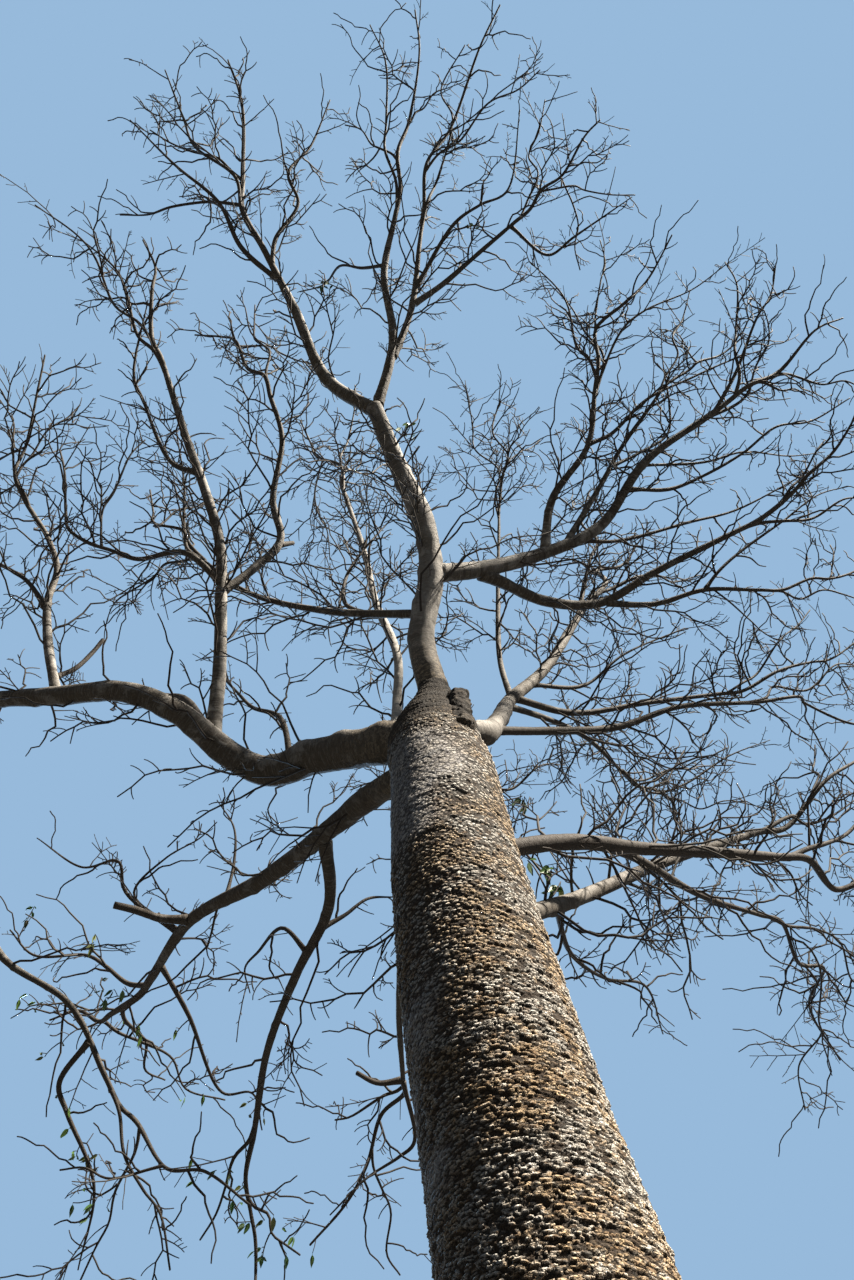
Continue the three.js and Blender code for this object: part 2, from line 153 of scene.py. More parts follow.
# Each limb starts on the limb named second, where that one passes its first sight, follows the
# other sights and rises evenly to its top. Thick is its diameter at foot and end. Spray holds the
# furthest points of the twigs beyond it, as sights with heights: the stem's first, then its leads'.
LIMBS = [
    ("leader", "trunk", "rear", 12.9, (0.33, 0.205),
     [(430, 690), (421, 640), (431, 575), (424, 525), (400, 470), (374, 407)], []),
    ("top_left", "leader", "top", 14.6, (0.17, 0.095),
     [(376, 412), (326, 378), (295, 310), (277, 275)],
     [(228, 60, 16.9), (330, 100, 17.0), (165, 70, 16.4), (120, 215, 15.6), (150, 130, 16.0)]),
    ("top_middle", "leader", "top", 15.3, (0.14, 0.065),
     [(377, 411), (393, 340), (384, 274), (395, 217)],
     [(415, 10, 17.7), (370, 25, 17.5), (345, 125, 16.6), (440, 90, 17.3)]),
    ("top_right", "top_middle", "top", 15.2, (0.11, 0.06),
     [(389, 372), (411, 310), (420, 240)],
     [(500, 5, 17.8), (465, 45, 17.9), (540, 70, 17.4), (450, 130, 17.0)]),
    ("top_right_side", "top_right", "top", 15.6, (0.08, 0.05),
     [(411, 305), (443, 284), (480, 252), (515, 222)],
     [(600, 120, 17.1), (545, 100, 17.3), (635, 195, 16.5), (580, 270, 16.0)]),
    ("right", "leader", "right", 14.2, (0.19, 0.08),
     [(436, 574), (481, 569), (535, 556), (600, 526), (645, 462), (707, 417)],
     [(843, 318, 15.9), (776, 263, 16.5), (725, 262, 16.8), (805, 395, 14.9), (865, 390, 14.9)]),
    ("right_riser", "right", "right", 14.3, (0.11, 0.06),
     [(545, 552), (552, 500), (588, 445), (595, 390)],
     [(672, 235, 16.9), (530, 262, 16.3), (600, 240, 16.9), (580, 330, 15.5)]),
    ("right_inner", "right", "right", 14.6, (0.08, 0.048),
     [(565, 545), (603, 481), (620, 450), (655, 400)],
     [(745, 335, 16.3), (690, 290, 16.8), (650, 330, 16.0)]),
    ("right_low", "right", "right", 12.9, (0.14, 0.07),
     [(472, 570), (501, 582), (545, 601), (600, 603), (655, 572), (735, 532)],
     [(862, 405, 14.2), (872, 500, 13.7), (825, 440, 14.3), (795, 480, 13.9)]),
    ("right_low_side", "right_low", "right", 12.5, (0.08, 0.045),
     [(600, 604), (655, 604), (704, 590), (760, 590)],
     [(885, 550, 13.4), (860, 600, 13.1), (830, 545, 13.5)]),
    ("east", "trunk", "east", 13.3, (0.2, 0.105),
     [(478, 733), (510, 700), (545, 669), (575, 622)],
     [(640, 540, 16.6), (590, 490, 17.0), (700, 575, 15.8), (545, 560, 16.8)]),
    ("east_low", "east", "east", 11.2, (0.09, 0.05),
     [(487, 726), (545, 731), (617, 727), (678, 707), (740, 703)],
     [(885, 722, 12.4), (855, 665, 12.7), (830, 760, 12.2)]),
    ("east_middle", "east", "east", 12.2, (0.085, 0.048),
     [(514, 700), (574, 713), (646, 703), (718, 694)],
     [(865, 635, 13.7), (810, 610, 14.0), (770, 640, 13.4)]),
    ("east_rear", "east", "east", 12.0, (0.075, 0.045),
     [(507, 706), (553, 721), (588, 739), (625, 775)],
     [(700, 835, 13.3), (735, 765, 13.5), (640, 850, 13.2), (770, 810, 13.1)]),
    ("east_riser", "east", "east", 14.5, (0.075, 0.042),
     [(512, 700), (500, 660), (498, 597), (499, 525)],
     [(500, 400, 17.1), (465, 385, 17.2), (540, 440, 17.2)]),
    ("low_right", "trunk", "low_right", 8.9, (0.14, 0.085),
     [(516, 849), (564, 842), (649, 849), (708, 852), (778, 857)],
     [(905, 935, 10.2), (895, 790, 10.6), (860, 880, 10.3)]),
    ("low_right_rear", "low_right", "low_right", 9.3, (0.08, 0.048),
     [(585, 845), (629, 855), (702, 896), (760, 915)],
     [(840, 1060, 10.1), (880, 985, 10.4), (805, 1110, 9.8)]),
    ("low_right_pale", "trunk", "low_right", 9.9, (0.15, 0.08),
     [(532, 917), (576, 899), (664, 862), (740, 838)],
     [(885, 735, 12.0), (855, 800, 11.5), (815, 745, 12.2)]),
    ("left", "trunk", "left", 10.3, (0.36, 0.15),
     [(384, 742), (315, 757), (268, 771), (230, 755), (178, 713), (125, 692), (55, 696), (-20, 700)],
     [(-190, 650, 11.9), (-150, 570, 12.4), (-210, 740, 11.3), (-130, 800, 10.8)]),
    ("left_riser", "left", "left", 13.3, (0.155, 0.075),
     [(217, 735), (219, 674), (221, 600), (220, 545), (205, 490), (187, 440), (168, 380)],
     [(143, 240, 15.2), (82, 240, 15.0), (35, 205, 15.0), (95, 300, 14.3)]),
    ("left_riser_inner", "left_riser", "left", 13.3, (0.1, 0.055),
     [(222, 592), (252, 570), (280, 541), (273, 500), (282, 438), (270, 395)],
     [(195, 335, 14.9), (255, 305, 15.2), (325, 365, 14.9)]),
    ("left_riser_side", "left_riser", "left", 11.5, (0.08, 0.045),
     [(221, 583), (185, 553), (137, 559), (110, 550)],
     [(60, 450, 12.9), (145, 440, 13.2), (30, 590, 12.2)]),
    ("far_left", "left", "left", 12.5, (0.11, 0.055),
     [(56, 690), (48, 641), (48, 600), (57, 570), (48, 538), (34, 515)],
     [(45, 355, 14.3), (0, 400, 14.0), (80, 405, 14.2), (-65, 510, 13.6)]),
    ("low_left", "trunk", "low_left", 9.3, (0.23, 0.085),
     [(384, 760), (366, 800), (329, 830), (264, 879), (191, 920), (150, 980)],
     [(50, 1020, 10.0), (10, 930, 10.3), (165, 1080, 9.6), (225, 1100, 9.3)]),
    ("low_left_rear", "low_left", "low_left", 8.3, (0.12, 0.06),
     [(334, 846), (329, 905), (296, 975), (267, 1052), (256, 1120)],
     [(255, 1300, 7.3), (200, 1240, 7.6), (300, 1255, 7.5)]),
    ("outer_left", "left", "low_left", 8.6, (0.11, 0.05),
     [(0, 698), (-35, 790), (-25, 880), (0, 954), (70, 1005), (106, 1078)],
     [(250, 1205, 7.2), (170, 1270, 7.2), (76, 1290, 7.5), (60, 1170, 8.0)]),
    ("rear_left", "trunk", "low_left", 8.6, (0.09, 0.05),
     [(436, 812), (425, 860), (405, 930), (399, 1008), (403, 1080)],
     [(310, 1245, 7.9), (335, 1120, 8.7), (400, 1275, 8.0)]),
    ("rear", "trunk", "rear", 13.6, (0.2, 0.095),
     [(440, 770), (448, 812), (455, 832), (455, 805)],
     [(475, 735, 16.5), (565, 765, 15.9), (350, 790, 15.5), (395, 700, 16.7)]),
    ("inner", "trunk", "rear", 14.9, (0.12, 0.06),
     [(400, 715), (398, 660), (375, 600), (365, 554), (345, 495)],
     [(300, 420, 17.0), (355, 385, 17.3), (395, 470, 17.2), (330, 560, 16.7)]),
    ("inner_left", "leader", "rear", 11.9, (0.095, 0.05),
     [(412, 611), (326, 611), (247, 592), (205, 562)],
     [(150, 490, 13.5), (110, 610, 12.6), (225, 500, 13.8)]),
]

# The lesser limbs and the cut stubs, with no spray of their own: the limb that each leaves, the
# height of its end, its diameters and its sights
LESSER_LIMBS = [
    ("top_left", 15.9, (0.075, 0.016), [(277, 285), (241, 247), (219, 203), (175, 165), (130, 120)]),
    ("top_middle", 15.9, (0.05, 0.014), [(384, 265), (362, 268), (340, 266), (325, 284), (300, 292)]),
    ("top_right", 16.7, (0.06, 0.015), [(418, 290), (455, 223), (480, 205), (507, 191), (520, 110)]),
    ("top_right_side", 16.6, (0.05, 0.014), [(510, 226), (548, 255), (574, 237), (632, 197)]),
    ("right", 14.6, (0.055, 0.014), [(577, 539), (617, 541), (690, 522), (736, 510), (812, 470)]),
    ("right", 15.2, (0.055, 0.018),
     [(633, 492), (670, 489), (703, 476), (743, 453), (776, 427), (811, 421), (850, 398)]),
    ("right", 15.0, (0.04, 0.012), [(645, 468), (705, 462), (743, 452), (790, 456), (825, 452)]),
    ("right", 16.2, (0.05, 0.014),
     [(700, 419), (745, 397), (756, 366), (769, 340), (764, 311), (750, 295)]),
    ("right_riser", 15.9, (0.055, 0.013),
     [(593, 446), (611, 434), (646, 400), (691, 378), (729, 361), (769, 348)]),
    ("right_riser", 16.6, (0.05, 0.013), [(594, 400), (603, 355), (585, 332), (571, 307), (545, 279)]),
    ("right_riser", 16.8, (0.045, 0.013), [(600, 372), (622, 330), (644, 311), (693, 289), (729, 262)]),
    ("right_inner", 16.0, (0.05, 0.013),
     [(612, 468), (639, 453), (668, 433), (669, 402), (663, 363), (661, 330)]),
    ("right_low_side", 14.3, (0.05, 0.013),
     [(705, 590), (719, 571), (740, 552), (783, 521), (818, 495), (850, 486)]),
    ("east", 13.2, (0.06, 0.015), [(530, 686), (585, 685), (623, 655), (685, 628)]),
    ("east_rear", 13.4, (0.045, 0.012), [(618, 768), (654, 793), (685, 784), (729, 756), (770, 740)]),
    ("low_right_pale", 9.5, (0.05, 0.014), [(556, 908), (572, 955), (607, 979), (644, 985), (663, 1034)]),
    ("left_riser", 14.2, (0.065, 0.016), [(199, 474), (171, 462), (143, 400), (134, 376), (148, 300)]),
    ("left", 11.2, (0.07, 0.016), [(291, 765), (280, 718), (252, 707), (236, 691), (214, 668)]),
    ("far_left", 12.6, (0.06, 0.016), [(47, 610), (27, 581), (0, 564), (-45, 538)]),
    ("inner_left", 13.6, (0.055, 0.015), [(365, 608), (345, 603), (345, 581), (359, 556), (392, 518)]),
    ("inner_left", 13.3, (0.05, 0.015), [(205, 562), (186, 537), (184, 482), (176, 430)]),
    ("low_left", 8.9, (0.06, 0.015), [(161, 965), (188, 1014), (223, 1093), (252, 1093), (262, 1130)]),
    ("outer_left", 7.6, (0.06, 0.014), [(92, 1040), (59, 1084), (67, 1113), (94, 1187), (78, 1270)]),
    ("rear_left", 8.1, (0.05, 0.014), [(403, 1080), (414, 1143), (399, 1157), (367, 1178), (330, 1215)]),
    ("low_left_rear", 9.2, (0.05, 0.014), [(326, 931), (345, 915), (367, 899), (393, 897)]),
    ("low_left_rear", 8.8, (0.045, 0.012), [(303, 951), (283, 928), (258, 952), (245, 968), (250, 993)]),
    ("low_left", 10.0, (0.05, 0.012), [(150, 912), (125, 891), (119, 862), (81, 867), (37, 838)]),
    ("low_left", 10.1, (0.04, 0.011), [(160, 915), (134, 893), (166, 858), (200, 838), (217, 822)]),
    ("low_left", 10.2, (0.04, 0.011), [(220, 889), (234, 862), (234, 828), (217, 800)]),
]
STUBS = [
    ("left_riser_inner", 12.05, (0.06, 0.05), [(278, 545), (293, 543)]),
    ("low_left", 9.0, (0.095, 0.07), [(191, 920), (160, 918), (135, 910), (114, 905)]),
    ("left", 10.9, (0.09, 0.07), [(215, 745), (186, 700), (166, 696)]),
    ("far_left", 11.3, (0.06, 0.05), [(56, 678), (76, 668), (93, 652), (103, 640)]),
    ("rear_left", 8.5, (0.06, 0.045), [(402, 1090), (378, 1083), (357, 1073)]),
]
# Sights with heights that a limb passes behind the trunk's shoulder, before it comes into view
HIDDEN_FEET = {"inner": [(400, 742, 9.2), (397, 705, 10.2)], "east": [(482, 733, 9.0), (498, 721, 9.7)]}

# How much paler or darker than the others some limbs are
LIMB_TONES = {"east": -0.2, "low_right_pale": -0.25, "inner": 0.6, "leader": 0.22, "low_right": -1.0,
              "low_right_rear": -0.6, "east_low": -0.45, "east_middle": -0.4, "right_low": -0.3,
              "left": -0.15, "low_left": -0.2, "low_left_rear": -0.2}
GROUPS = ["top", "right", "east", "low_right", "left", "low_left", "rear"]

# How many more or fewer fine twigs than the others some parts of the crown have, and how much
# shorter the twigs on lesser limbs are
PLENTY = {"top": 0.8, "right": 0.85, "east": 1.1, "low_right": 1.1, "left": 1.1, "low_left": 0.6,
          "rear": 1.6, "outer_left": 0.3, "low_left_rear": 0.45, "inner_left": 1.6}
LESSER_STRETCH = 0.62

# Where the foot of the limb beside the neck shows, clear of twigs, and how wide
CLEAR_SIGHTS = [(484, 730), (497, 718), (510, 705), (524, 692)]
CLEAR_WIDTH = 13

# Where the last leaves hang, as sights
LEAFY_SIGHTS = [
    (20, 880), (45, 905), (90, 930), (15, 1000), (110, 985), (30, 1080), (55, 1140), (95, 1210),
    (100, 1150), (215, 1190), (250, 1215), (270, 1235), (290, 1250), (265, 1265), (235, 1160),
    (150, 1010), (325, 284), (469, 231), (408, 430), (595, 590), (240, 1120), (200, 1135),
    (532, 878), (543, 888), (530, 895), (521, 801),
]

# The rule of chance: from a seed and a count follows one whole number below the modulus.
SEED_TREE = 20611
CHANCE_MODULUS = 2147483647
INNER_MODULUS = 2147483399
SEED_FACTOR = 48271
COUNT_FACTOR = 69621
INNER_FACTOR = 40692
OUTER_FACTOR = 16807

# What the first draws of chance of one twig, knob or leaf decide
PLACE, TURN, ANGLE, REACH, BEND, SIDE, BOW, CHOICE, TONE = range(1, 10)

# At which count further draws start, by what they are for
KINK_DRAWS = 10
LEAD_DRAWS = 40
STUB_DRAWS = 50
LEAFY_DRAW = 61
LEAF_DRAWS = 80
TWIG_DRAWS = 100
CORNER_DRAWS = 200
CROSS_CORNER_DRAWS = 240
LESSER_DRAWS = 300
BARK_DRAWS = 400
FINE_TWIG_DRAWS = 500
LIMB_DRAWS = 600
SHOOT_DRAWS = 700
LIMB_TWIG_DRAWS = 800
SPUR_DRAWS = 900

# Chance at whole-number corners: factors for x, y, z and the seed, and the shifts and factors that
# mix the bits
CORNER_FACTORS = (73856093, 19349663, 83492791)
LATTICE_FACTOR = 40503
LATTICE_START = 9973
BIT_MIXES = ((15, 0x2C1B3C6D), (12, 0x297A2D39))
LAST_SHIFT = 15
BIT_RANGE = 4294967296.0


def next_seed(seed, count):
    """(a seed + b (count + 1)) mod m, stirred by c mod n and by d mod m, as named above."""
    mixed = (np.asarray(seed, np.int64) * SEED_FACTOR
             + (np.asarray(count, np.int64) + 1) * COUNT_FACTOR) % CHANCE_MODULUS
    stirred = ((mixed % INNER_MODULUS) * INNER_FACTOR) % INNER_MODULUS
    return (stirred * OUTER_FACTOR) % CHANCE_MODULUS


def spread(seed, count):
    """A share of chance between -1 and 1."""
    return 2 * next_seed(seed, count) / CHANCE_MODULUS - 1


def lattice(x, y, z, seed):
    """One number of chance from 0 to 1 for each whole-number corner, by mixing its bits."""
    mixed = seed * LATTICE_FACTOR + LATTICE_START
    for place, factor in zip((x, y, z), CORNER_FACTORS):
        mixed = mixed ^ (place * factor)
    mixed = mixed.astype(np.uint32)
    for shift, factor in BIT_MIXES:
        mixed = (mixed ^ (mixed >> np.uint32(shift))) * np.uint32(factor)
    mixed = mixed ^ (mixed >> np.uint32(LAST_SHIFT))
    return mixed / BIT_RANGE


def cloud(place, seed):
    """Value noise from -1 to 1: chance at the corners round a place, blended by smooth steps."""
    base = np.floor(place).astype(np.int64)
    part = place - base
    ease = part * part * (3 - 2 * part)
    total = np.zeros(place.shape[:-1])
    for corner in np.ndindex(2, 2, 2):
        step = np.array(corner)
        share = np.prod(np.where(step == 1, ease, 1 - ease), axis=-1)
        x, y, z = np.moveaxis(base + step, -1, 0)
        total += share * lattice(x, y, z, seed)
    return 2 * total - 1


def clouds(place, layers):
    """A sum of clouds, from layers that each give a fineness, a share and a seed."""
    return sum(share * cloud(place * fineness, seed) for fineness, share, seed in layers)


def smooth_step(value, low, high):
    """0 below low and 1 above high, with an even rise between them. It falls where low is above
    high."""
    share = np.clip((value - low) / (high - low), 0, 1)
    return share * share * (3 - 2 * share)


def rise_from(low, share):
    """Low where the share is 0, and 1 where it is 1."""
    return low + (1 - low) * share


def half_turned(angle):
    """The same angle, between minus half a turn and half a turn."""
    return (angle + math.pi) % (2 * math.pi) - math.pi


def unit(vectors):
    """The same directions, each of length one."""
    return vectors / np.maximum(np.linalg.norm(vectors, axis=-1, keepdims=True), SHORTEST)


def dot(first, second):
    """The inner product of each pair, kept as a last axis of one."""
    return np.sum(first * second, axis=-1, keepdims=True)


def sighted(column, row, height):
    """The point that shows at a column and a row and lies at a height."""
    right = (np.asarray(column, float) - MIDDLE_COLUMN) / PICTURE_DEPTH
    up = (MIDDLE_ROW - np.asarray(row, float)) / PICTURE_DEPTH
    away = math.cos(LOOK_UP) - up * math.sin(LOOK_UP)
    upward = math.sin(LOOK_UP) + up * math.cos(LOOK_UP)
    reach = (height - EYE[2]) / upward
    return np.stack([EYE[0] + right * reach, EYE[1] + away * reach, EYE[2] + upward * reach], axis=-1)


def shown(points):
    """The column and the row at which each point shows."""
    run = points - EYE
    depth = run[..., 1] * math.cos(LOOK_UP) + run[..., 2] * math.sin(LOOK_UP)
    rise = run[..., 2] * math.cos(LOOK_UP) - run[..., 1] * math.sin(LOOK_UP)
    column = MIDDLE_COLUMN + PICTURE_DEPTH * run[..., 0] / depth
    return np.stack([column, MIDDLE_ROW - PICTURE_DEPTH * rise / depth], axis=-1)


class Course:
    """A smooth way through points: a centripetal Catmull-Rom curve, measured along its length."""

    def __init__(self, points):
        points = np.asarray(points, float)
        before = 2 * points[0] - points[1]
        after = 2 * points[-1] - points[-2]
        self.points = np.vstack([before, points, after])
        self.spans = len(points) - 1
        self.shares = np.linspace(0, 1, COURSE_PROBES)
        steps = np.linalg.norm(np.diff(self.raw(self.shares), axis=0), axis=1)
        self.ways = np.concatenate([[0], np.cumsum(steps)])
        self.length = self.ways[-1]

    def raw(self, share):
        """The cubic of each span, whose slopes come from the square roots of the gaps beside it."""
        spot = np.asarray(share, float) * self.spans
        span = np.clip(np.floor(spot).astype(int), 0, self.spans - 1)
        rest = (spot - span)[..., None]
        p0, p1, p2, p3 = (self.points[span + index] for index in range(4))
        g0, g1, g2 = (np.sqrt(np.linalg.norm(b - a, axis=-1, keepdims=True))
                      for a, b in ((p0, p1), (p1, p2), (p2, p3)))
        leave = ((p1 - p0) / g0 - (p2 - p0) / (g0 + g1) + (p2 - p1) / g1) * g1
        reach = ((p2 - p1) / g1 - (p3 - p1) / (g1 + g2) + (p3 - p2) / g2) * g1
        square = 3 * (p2 - p1) - 2 * leave - reach
        cube = 2 * (p1 - p2) + leave + reach
        return p1 + rest * (leave + rest * (square + rest * cube))

    def even(self, share):
        """The point at each share of the way."""
        return self.raw(np.interp(np.asarray(share) * self.length, self.ways, self.shares))

    def heading(self, share):
        """The direction of the way at each share of it."""
        raw_share = np.interp(np.asarray(share) * self.length, self.ways, self.shares)
        ahead = self.raw(np.minimum(raw_share + SMALL_STEP, 1))
        return unit(ahead - self.raw(np.maximum(raw_share - SMALL_STEP, 0)))


def trunk_girth(height):
    """The trunk's radius: an even taper that ends in a round shoulder."""
    taper = TRUNK_RADIUS - TRUNK_TAPER * height
    shoulder = np.maximum(0, 1 - (TRUNK_HEIGHT - height) / SHOULDER_HEIGHT)
    rounded = 1 - np.sqrt(1 - np.minimum(1, shoulder * shoulder))
    return taper * (1 - (1 - SHOULDER_SHARE) * rounded)


def flare_at(height, turn):
    """How far the root flare stands out: it fades with height and swells in lobes round the trunk."""
    lobes = 1 + LOBE_DEPTH * np.cos(FLARE_LOBES * turn + FLARE_TURN)
    return FLARE_OUT * np.exp(-height / FLARE_HEIGHT) * lobes


def square_to(direction, turn):
    """A direction square to each direction, turned round it."""
    steep = np.abs(direction[..., 2:]) > STEEP
    helper = np.where(steep, np.array([1.0, 0, 0]), np.array([0, 0, 1.0]))
    side = unit(np.cross(direction, helper))
    turn = np.asarray(turn)[..., None]
    return side * np.cos(turn) + np.cross(direction, side) * np.sin(turn)


def turned_from(direction, side, angle):
    """A direction turned towards its side by an angle, and lifted a little."""
    angle = np.asarray(angle)[..., None]
    turned = direction * np.cos(angle) + side * np.sin(angle)
    return unit(turned + np.array([0, 0, TWIG_LIFT]))


def bent_course(start, direction, aim, seed):
    """A quadratic bow from start to aim that leaves along a direction, with small bends by chance."""
    run = np.linalg.norm(aim - start)
    middle = start + direction * run * BOW_SHARE
    share = np.linspace(0, 1, COURSE_BENDS + 1)[:, None]
    points = (1 - share) ** 2 * start + 2 * share * (1 - share) * middle + share ** 2 * aim
    bent = np.arange(2, COURSE_BENDS)
    bends = np.stack([spread(seed, bent + draws) for draws in BEND_DRAWS], axis=-1)
    points[2:COURSE_BENDS] += bends * run * BEND_SHARE
    points[1] = start + direction * run * FIRST_STRETCH
    return Course(points)


class Limb:
    """One limb of the tree: its course, its radius along it, and the spine of its mass."""

    def __init__(self, name, parent, group, top, thick, seen, hidden=()):
        self.name = name
        self.parent = parent
        self.group = group
        self.thick = thick
        spots = parent.course.raw(np.linspace(0, 1, SEARCH_STEPS + 1))
        gaps = np.linalg.norm(shown(spots) - np.array(seen[0]), axis=1)
        self.foot = spots[np.argmin(gaps)]
        sights = np.array(seen[1:], float)
        steps = np.diff(np.vstack([shown(self.foot), sights]), axis=0)
        ways = np.cumsum(np.linalg.norm(steps, axis=1))
        heights = self.foot[2] + (top - self.foot[2]) * ways / ways[-1]
        unseen = [sighted(*spot) for spot in hidden]
        self.course = Course([self.foot, *unseen, *sighted(sights[:, 0], sights[:, 1], heights)])
        self.length = self.course.length

    def radius(self, share):
        """Half an even taper from foot to end, with a collar that fades from the foot."""
        foot, end = self.thick
        collar = 1 + COLLAR_SHARE * np.exp(-np.asarray(share) * self.length / foot)
        return 0.5 * (foot + (end - foot) * np.asarray(share)) * collar


class Trunk:
    """The trunk as the parent of the first limbs."""

    name = "trunk"
    group = "trunk"
    course = Course([(side, 0, height) for height, side in TRUNK_LEAN])

    @staticmethod
    def radius(share):
        return trunk_girth(TRUNK_HEIGHT * share)

    @staticmethod
    def side(height):
        """How far the trunk's middle stands aside at a height."""
        spots = Trunk.course.raw(np.linspace(0, 1, SEARCH_STEPS + 1))
        return np.interp(height, spots[:, 2], spots[:, 0])


class Branch:
    """A stem or lead of a mass, a lesser limb or a stub: a course with the radius at its two ends."""

    def __init__(self, course, seed, first, last, group, mass, parent=None):
        self.parent = parent
        self.course = course
        self.seed = int(seed)
        self.first = float(first)
        self.last = float(last)
        self.group = group
        self.mass = mass
        self.length = course.length

    def radius(self, share):
        """An even taper from the first radius to the last."""
        return self.first + (self.last - self.first) * share


def grow_limbs():
    """Every limb of the table, each on the limb that it names."""
    placed = {"trunk": Trunk}
    for name, parent, group, top, thick, seen, spray in LIMBS:
        placed[name] = Limb(name, placed[parent], group, top, thick, seen, HIDDEN_FEET.get(name, ()))
        placed[name].spray = spray
    return {name: limb for name, limb in placed.items() if name != "trunk"}


def spine_of(limb, order):
    """The stem goes on from the limb's end to the first aim, and leads leave it for the others."""
    seed = next_seed(SEED_TREE, order)
    onward = limb.course.heading(1.0)
    start = limb.course.even(1.0) + onward * FIT_GAP
    course = bent_course(start, onward, sighted(*limb.spray[0]), seed)
    stem = Branch(course, seed, 0.5 * limb.thick[1], STEM_TIP, limb.group, limb.name)
    aims = limb.spray[1:]
    spine = [stem]
    for index, aim in enumerate(aims):
        share = LEAD_START + LEAD_SPREAD * index / max(1, len(aims) - 1)
        foot = course.even(share)
        away = unit(sighted(*aim) - foot)
        along = course.heading(share)
        leave = unit(along + (away - along) * LEAVE_SHARE)
        lead_seed = next_seed(stem.seed, index + LEAD_DRAWS)
        spine.append(Branch(bent_course(foot, leave, sighted(*aim), lead_seed), lead_seed,
                            stem.radius(share) * LEAD_SHARE, LEAD_TIP, limb.group, limb.name))
    return spine


def coarse_twigs(piece, spacing, offset, stretch=1.0, start=0.0):
    """The twigs of the rule on one spine piece: foot, middle and end, one after another.

    They leave turned round the piece by the golden angle and bend once, at their middle."""
    count = max(2, math.floor(piece.length / spacing + 0.5))
    index = np.arange(count)
    seed = next_seed(piece.seed, index + TWIG_DRAWS + offset)
    uneven = TWIG_UNEVEN * spread(seed, PLACE)
    share = np.minimum(LAST_TWIG, (index + FIRST_TWIG + uneven) / (count + END_ROOM))
    share = start + (1 - start) * share
    foot = piece.course.even(share)
    onward = piece.course.heading(share)
    side = square_to(onward, GOLDEN_TURN * index + spread(seed, TURN) + offset)
    first = turned_from(onward, side, TWIG_ANGLE * (1 + ANGLE_CHANCE * spread(seed, ANGLE)))
    second = turned_from(first, square_to(first, math.pi * spread(seed, BEND)), np.full(count, TWIG_BEND))
    wanted = TWIG_REACH * (1 + REACH_LOSS * (FULL_REACH_AT - share))
    wanted = wanted * (1 + REACH_CHANCE * spread(seed, REACH)) * stretch
    reach = np.maximum(TWIG_SHORTEST, np.minimum(wanted, TWIG_LONGEST * piece.length))
    return foot, first, second, reach, share, seed


UP = np.array([0, 0, 1.0])

# The twigs: points along one, radius at foot and point, and how crooked it is, by rank
TWIG_POINTS = (12, 7, 5, 3)
TWIG_FEET = (0.0135, 0.0085, 0.006, 0.0048)
TWIG_ENDS = (0.0066, 0.005, 0.0042, 0.0038)
TWIG_SIDES = (5, 4, 3, 3)
TWIG_THINNER = 0.85
SHORTEST_SHARE = 0.2
SHORT_BIAS = 1.6
TWIG_TONES = 3
BOX_SPARE = 0.02
KINK_CHANCE = 0.5

# Side twigs of the second, third and fourth rank: the angle at which each leaves, how much it
# zigzags and bows, and where its draws of chance start
SIDE_RULES = {1: (math.radians(50), 0.1, 0.2, 30), 2: (math.radians(56), 0.12, 0.2, 50),
              3: (math.radians(55), 0.1, 0.2, 70)}
SIDE_ANGLE_CHANCE = 0.3
OUTWARD_CHANCE = 0.9
SIDE_REACH_AT_FOOT = 1.2
SIDE_REACH_LOSS = 0.5
SIDE_LONGEST = 0.7
SIDE_ROOM = (0.3, 1.6)
SIDE_LIFT = 0.02

# Shoots and spurs, the twigs of the second and third rank that leave a branch directly: where their
# draws of chance start, and how much they zigzag and bow
SHOOT_RULES = {1: (SHOOT_DRAWS, 0.1, 0.2), 2: (SPUR_DRAWS, 0.1, 0.24)}
SHOOT_ANGLE = math.radians(58)
SHOOT_UNEVEN = 0.45
SHOOT_LIFT = 0.03

# From which share of a branch on it has twigs, shoots and spurs
SPINE_STARTS = (0.0, 0.12, 0.15)
LESSER_STARTS = (0.0, 0.15, 0.15)
LIMB_STARTS = (0.16, 0.3, 0.3)

# How clear of every limb the twigs of the first and the second rank keep, and where the trunk hides
# what is behind it: the lowest height seen, and how far below its top
RANK_CLEARANCES = (0.02, 0.01)
SEEN_FROM = 2.0
GIRTH_PROBES = 60
TOP_MARGIN = 20


class Twigs:
    """Many twigs of one rank: their paths, radii, seeds, tones and groups as whole arrays."""

    def __init__(self, rank, paths, limits, seed, tone, group):
        self.rank = rank
        self.paths = paths
        share = np.linspace(0, 1, paths.shape[1])
        first = np.minimum(TWIG_FEET[rank], TWIG_THINNER * limits)[:, None]
        self.radii = first + (np.minimum(TWIG_ENDS[rank], first) - first) * share
        self.seed = seed
        self.tone = tone
        self.group = group

    def only(self, kept):
        """The twigs that are kept."""
        chosen = object.__new__(Twigs)
        chosen.rank = self.rank
        for field in ("paths", "radii", "seed", "tone", "group"):
            setattr(chosen, field, getattr(self, field)[kept])
        return chosen

    @staticmethod
    def together(parts):
        """All twigs of some parts, which have the same rank."""
        joined = object.__new__(Twigs)
        joined.rank = parts[0].rank
        for field in ("paths", "radii", "seed", "tone", "group"):
            setattr(joined, field, np.concatenate([getattr(part, field) for part in parts]))
        return joined


def crooked(foot, first, reach, seed, count, kink, bow, lift):
    """Paths that zigzag along an arc: each step turns to the other side by the kink, turns on by
    the bow, and is lifted a little."""
    step = (reach / (count - 1))[:, None]
    side = square_to(first, math.pi * spread(seed, SIDE))
    steady = (bow * spread(seed, BOW))[:, None]
    direction = first
    points = [foot]
    for index in range(count - 1):
        points.append(points[-1] + direction * step)
        swing = (kink * (1 + KINK_CHANCE * spread(seed, KINK_DRAWS + index)) * (-1) ** index)[:, None]
        direction = unit(direction + side * (swing + steady) + UP * lift)
        side = unit(side - direction * dot(side, direction))
    return np.stack(points, axis=1)


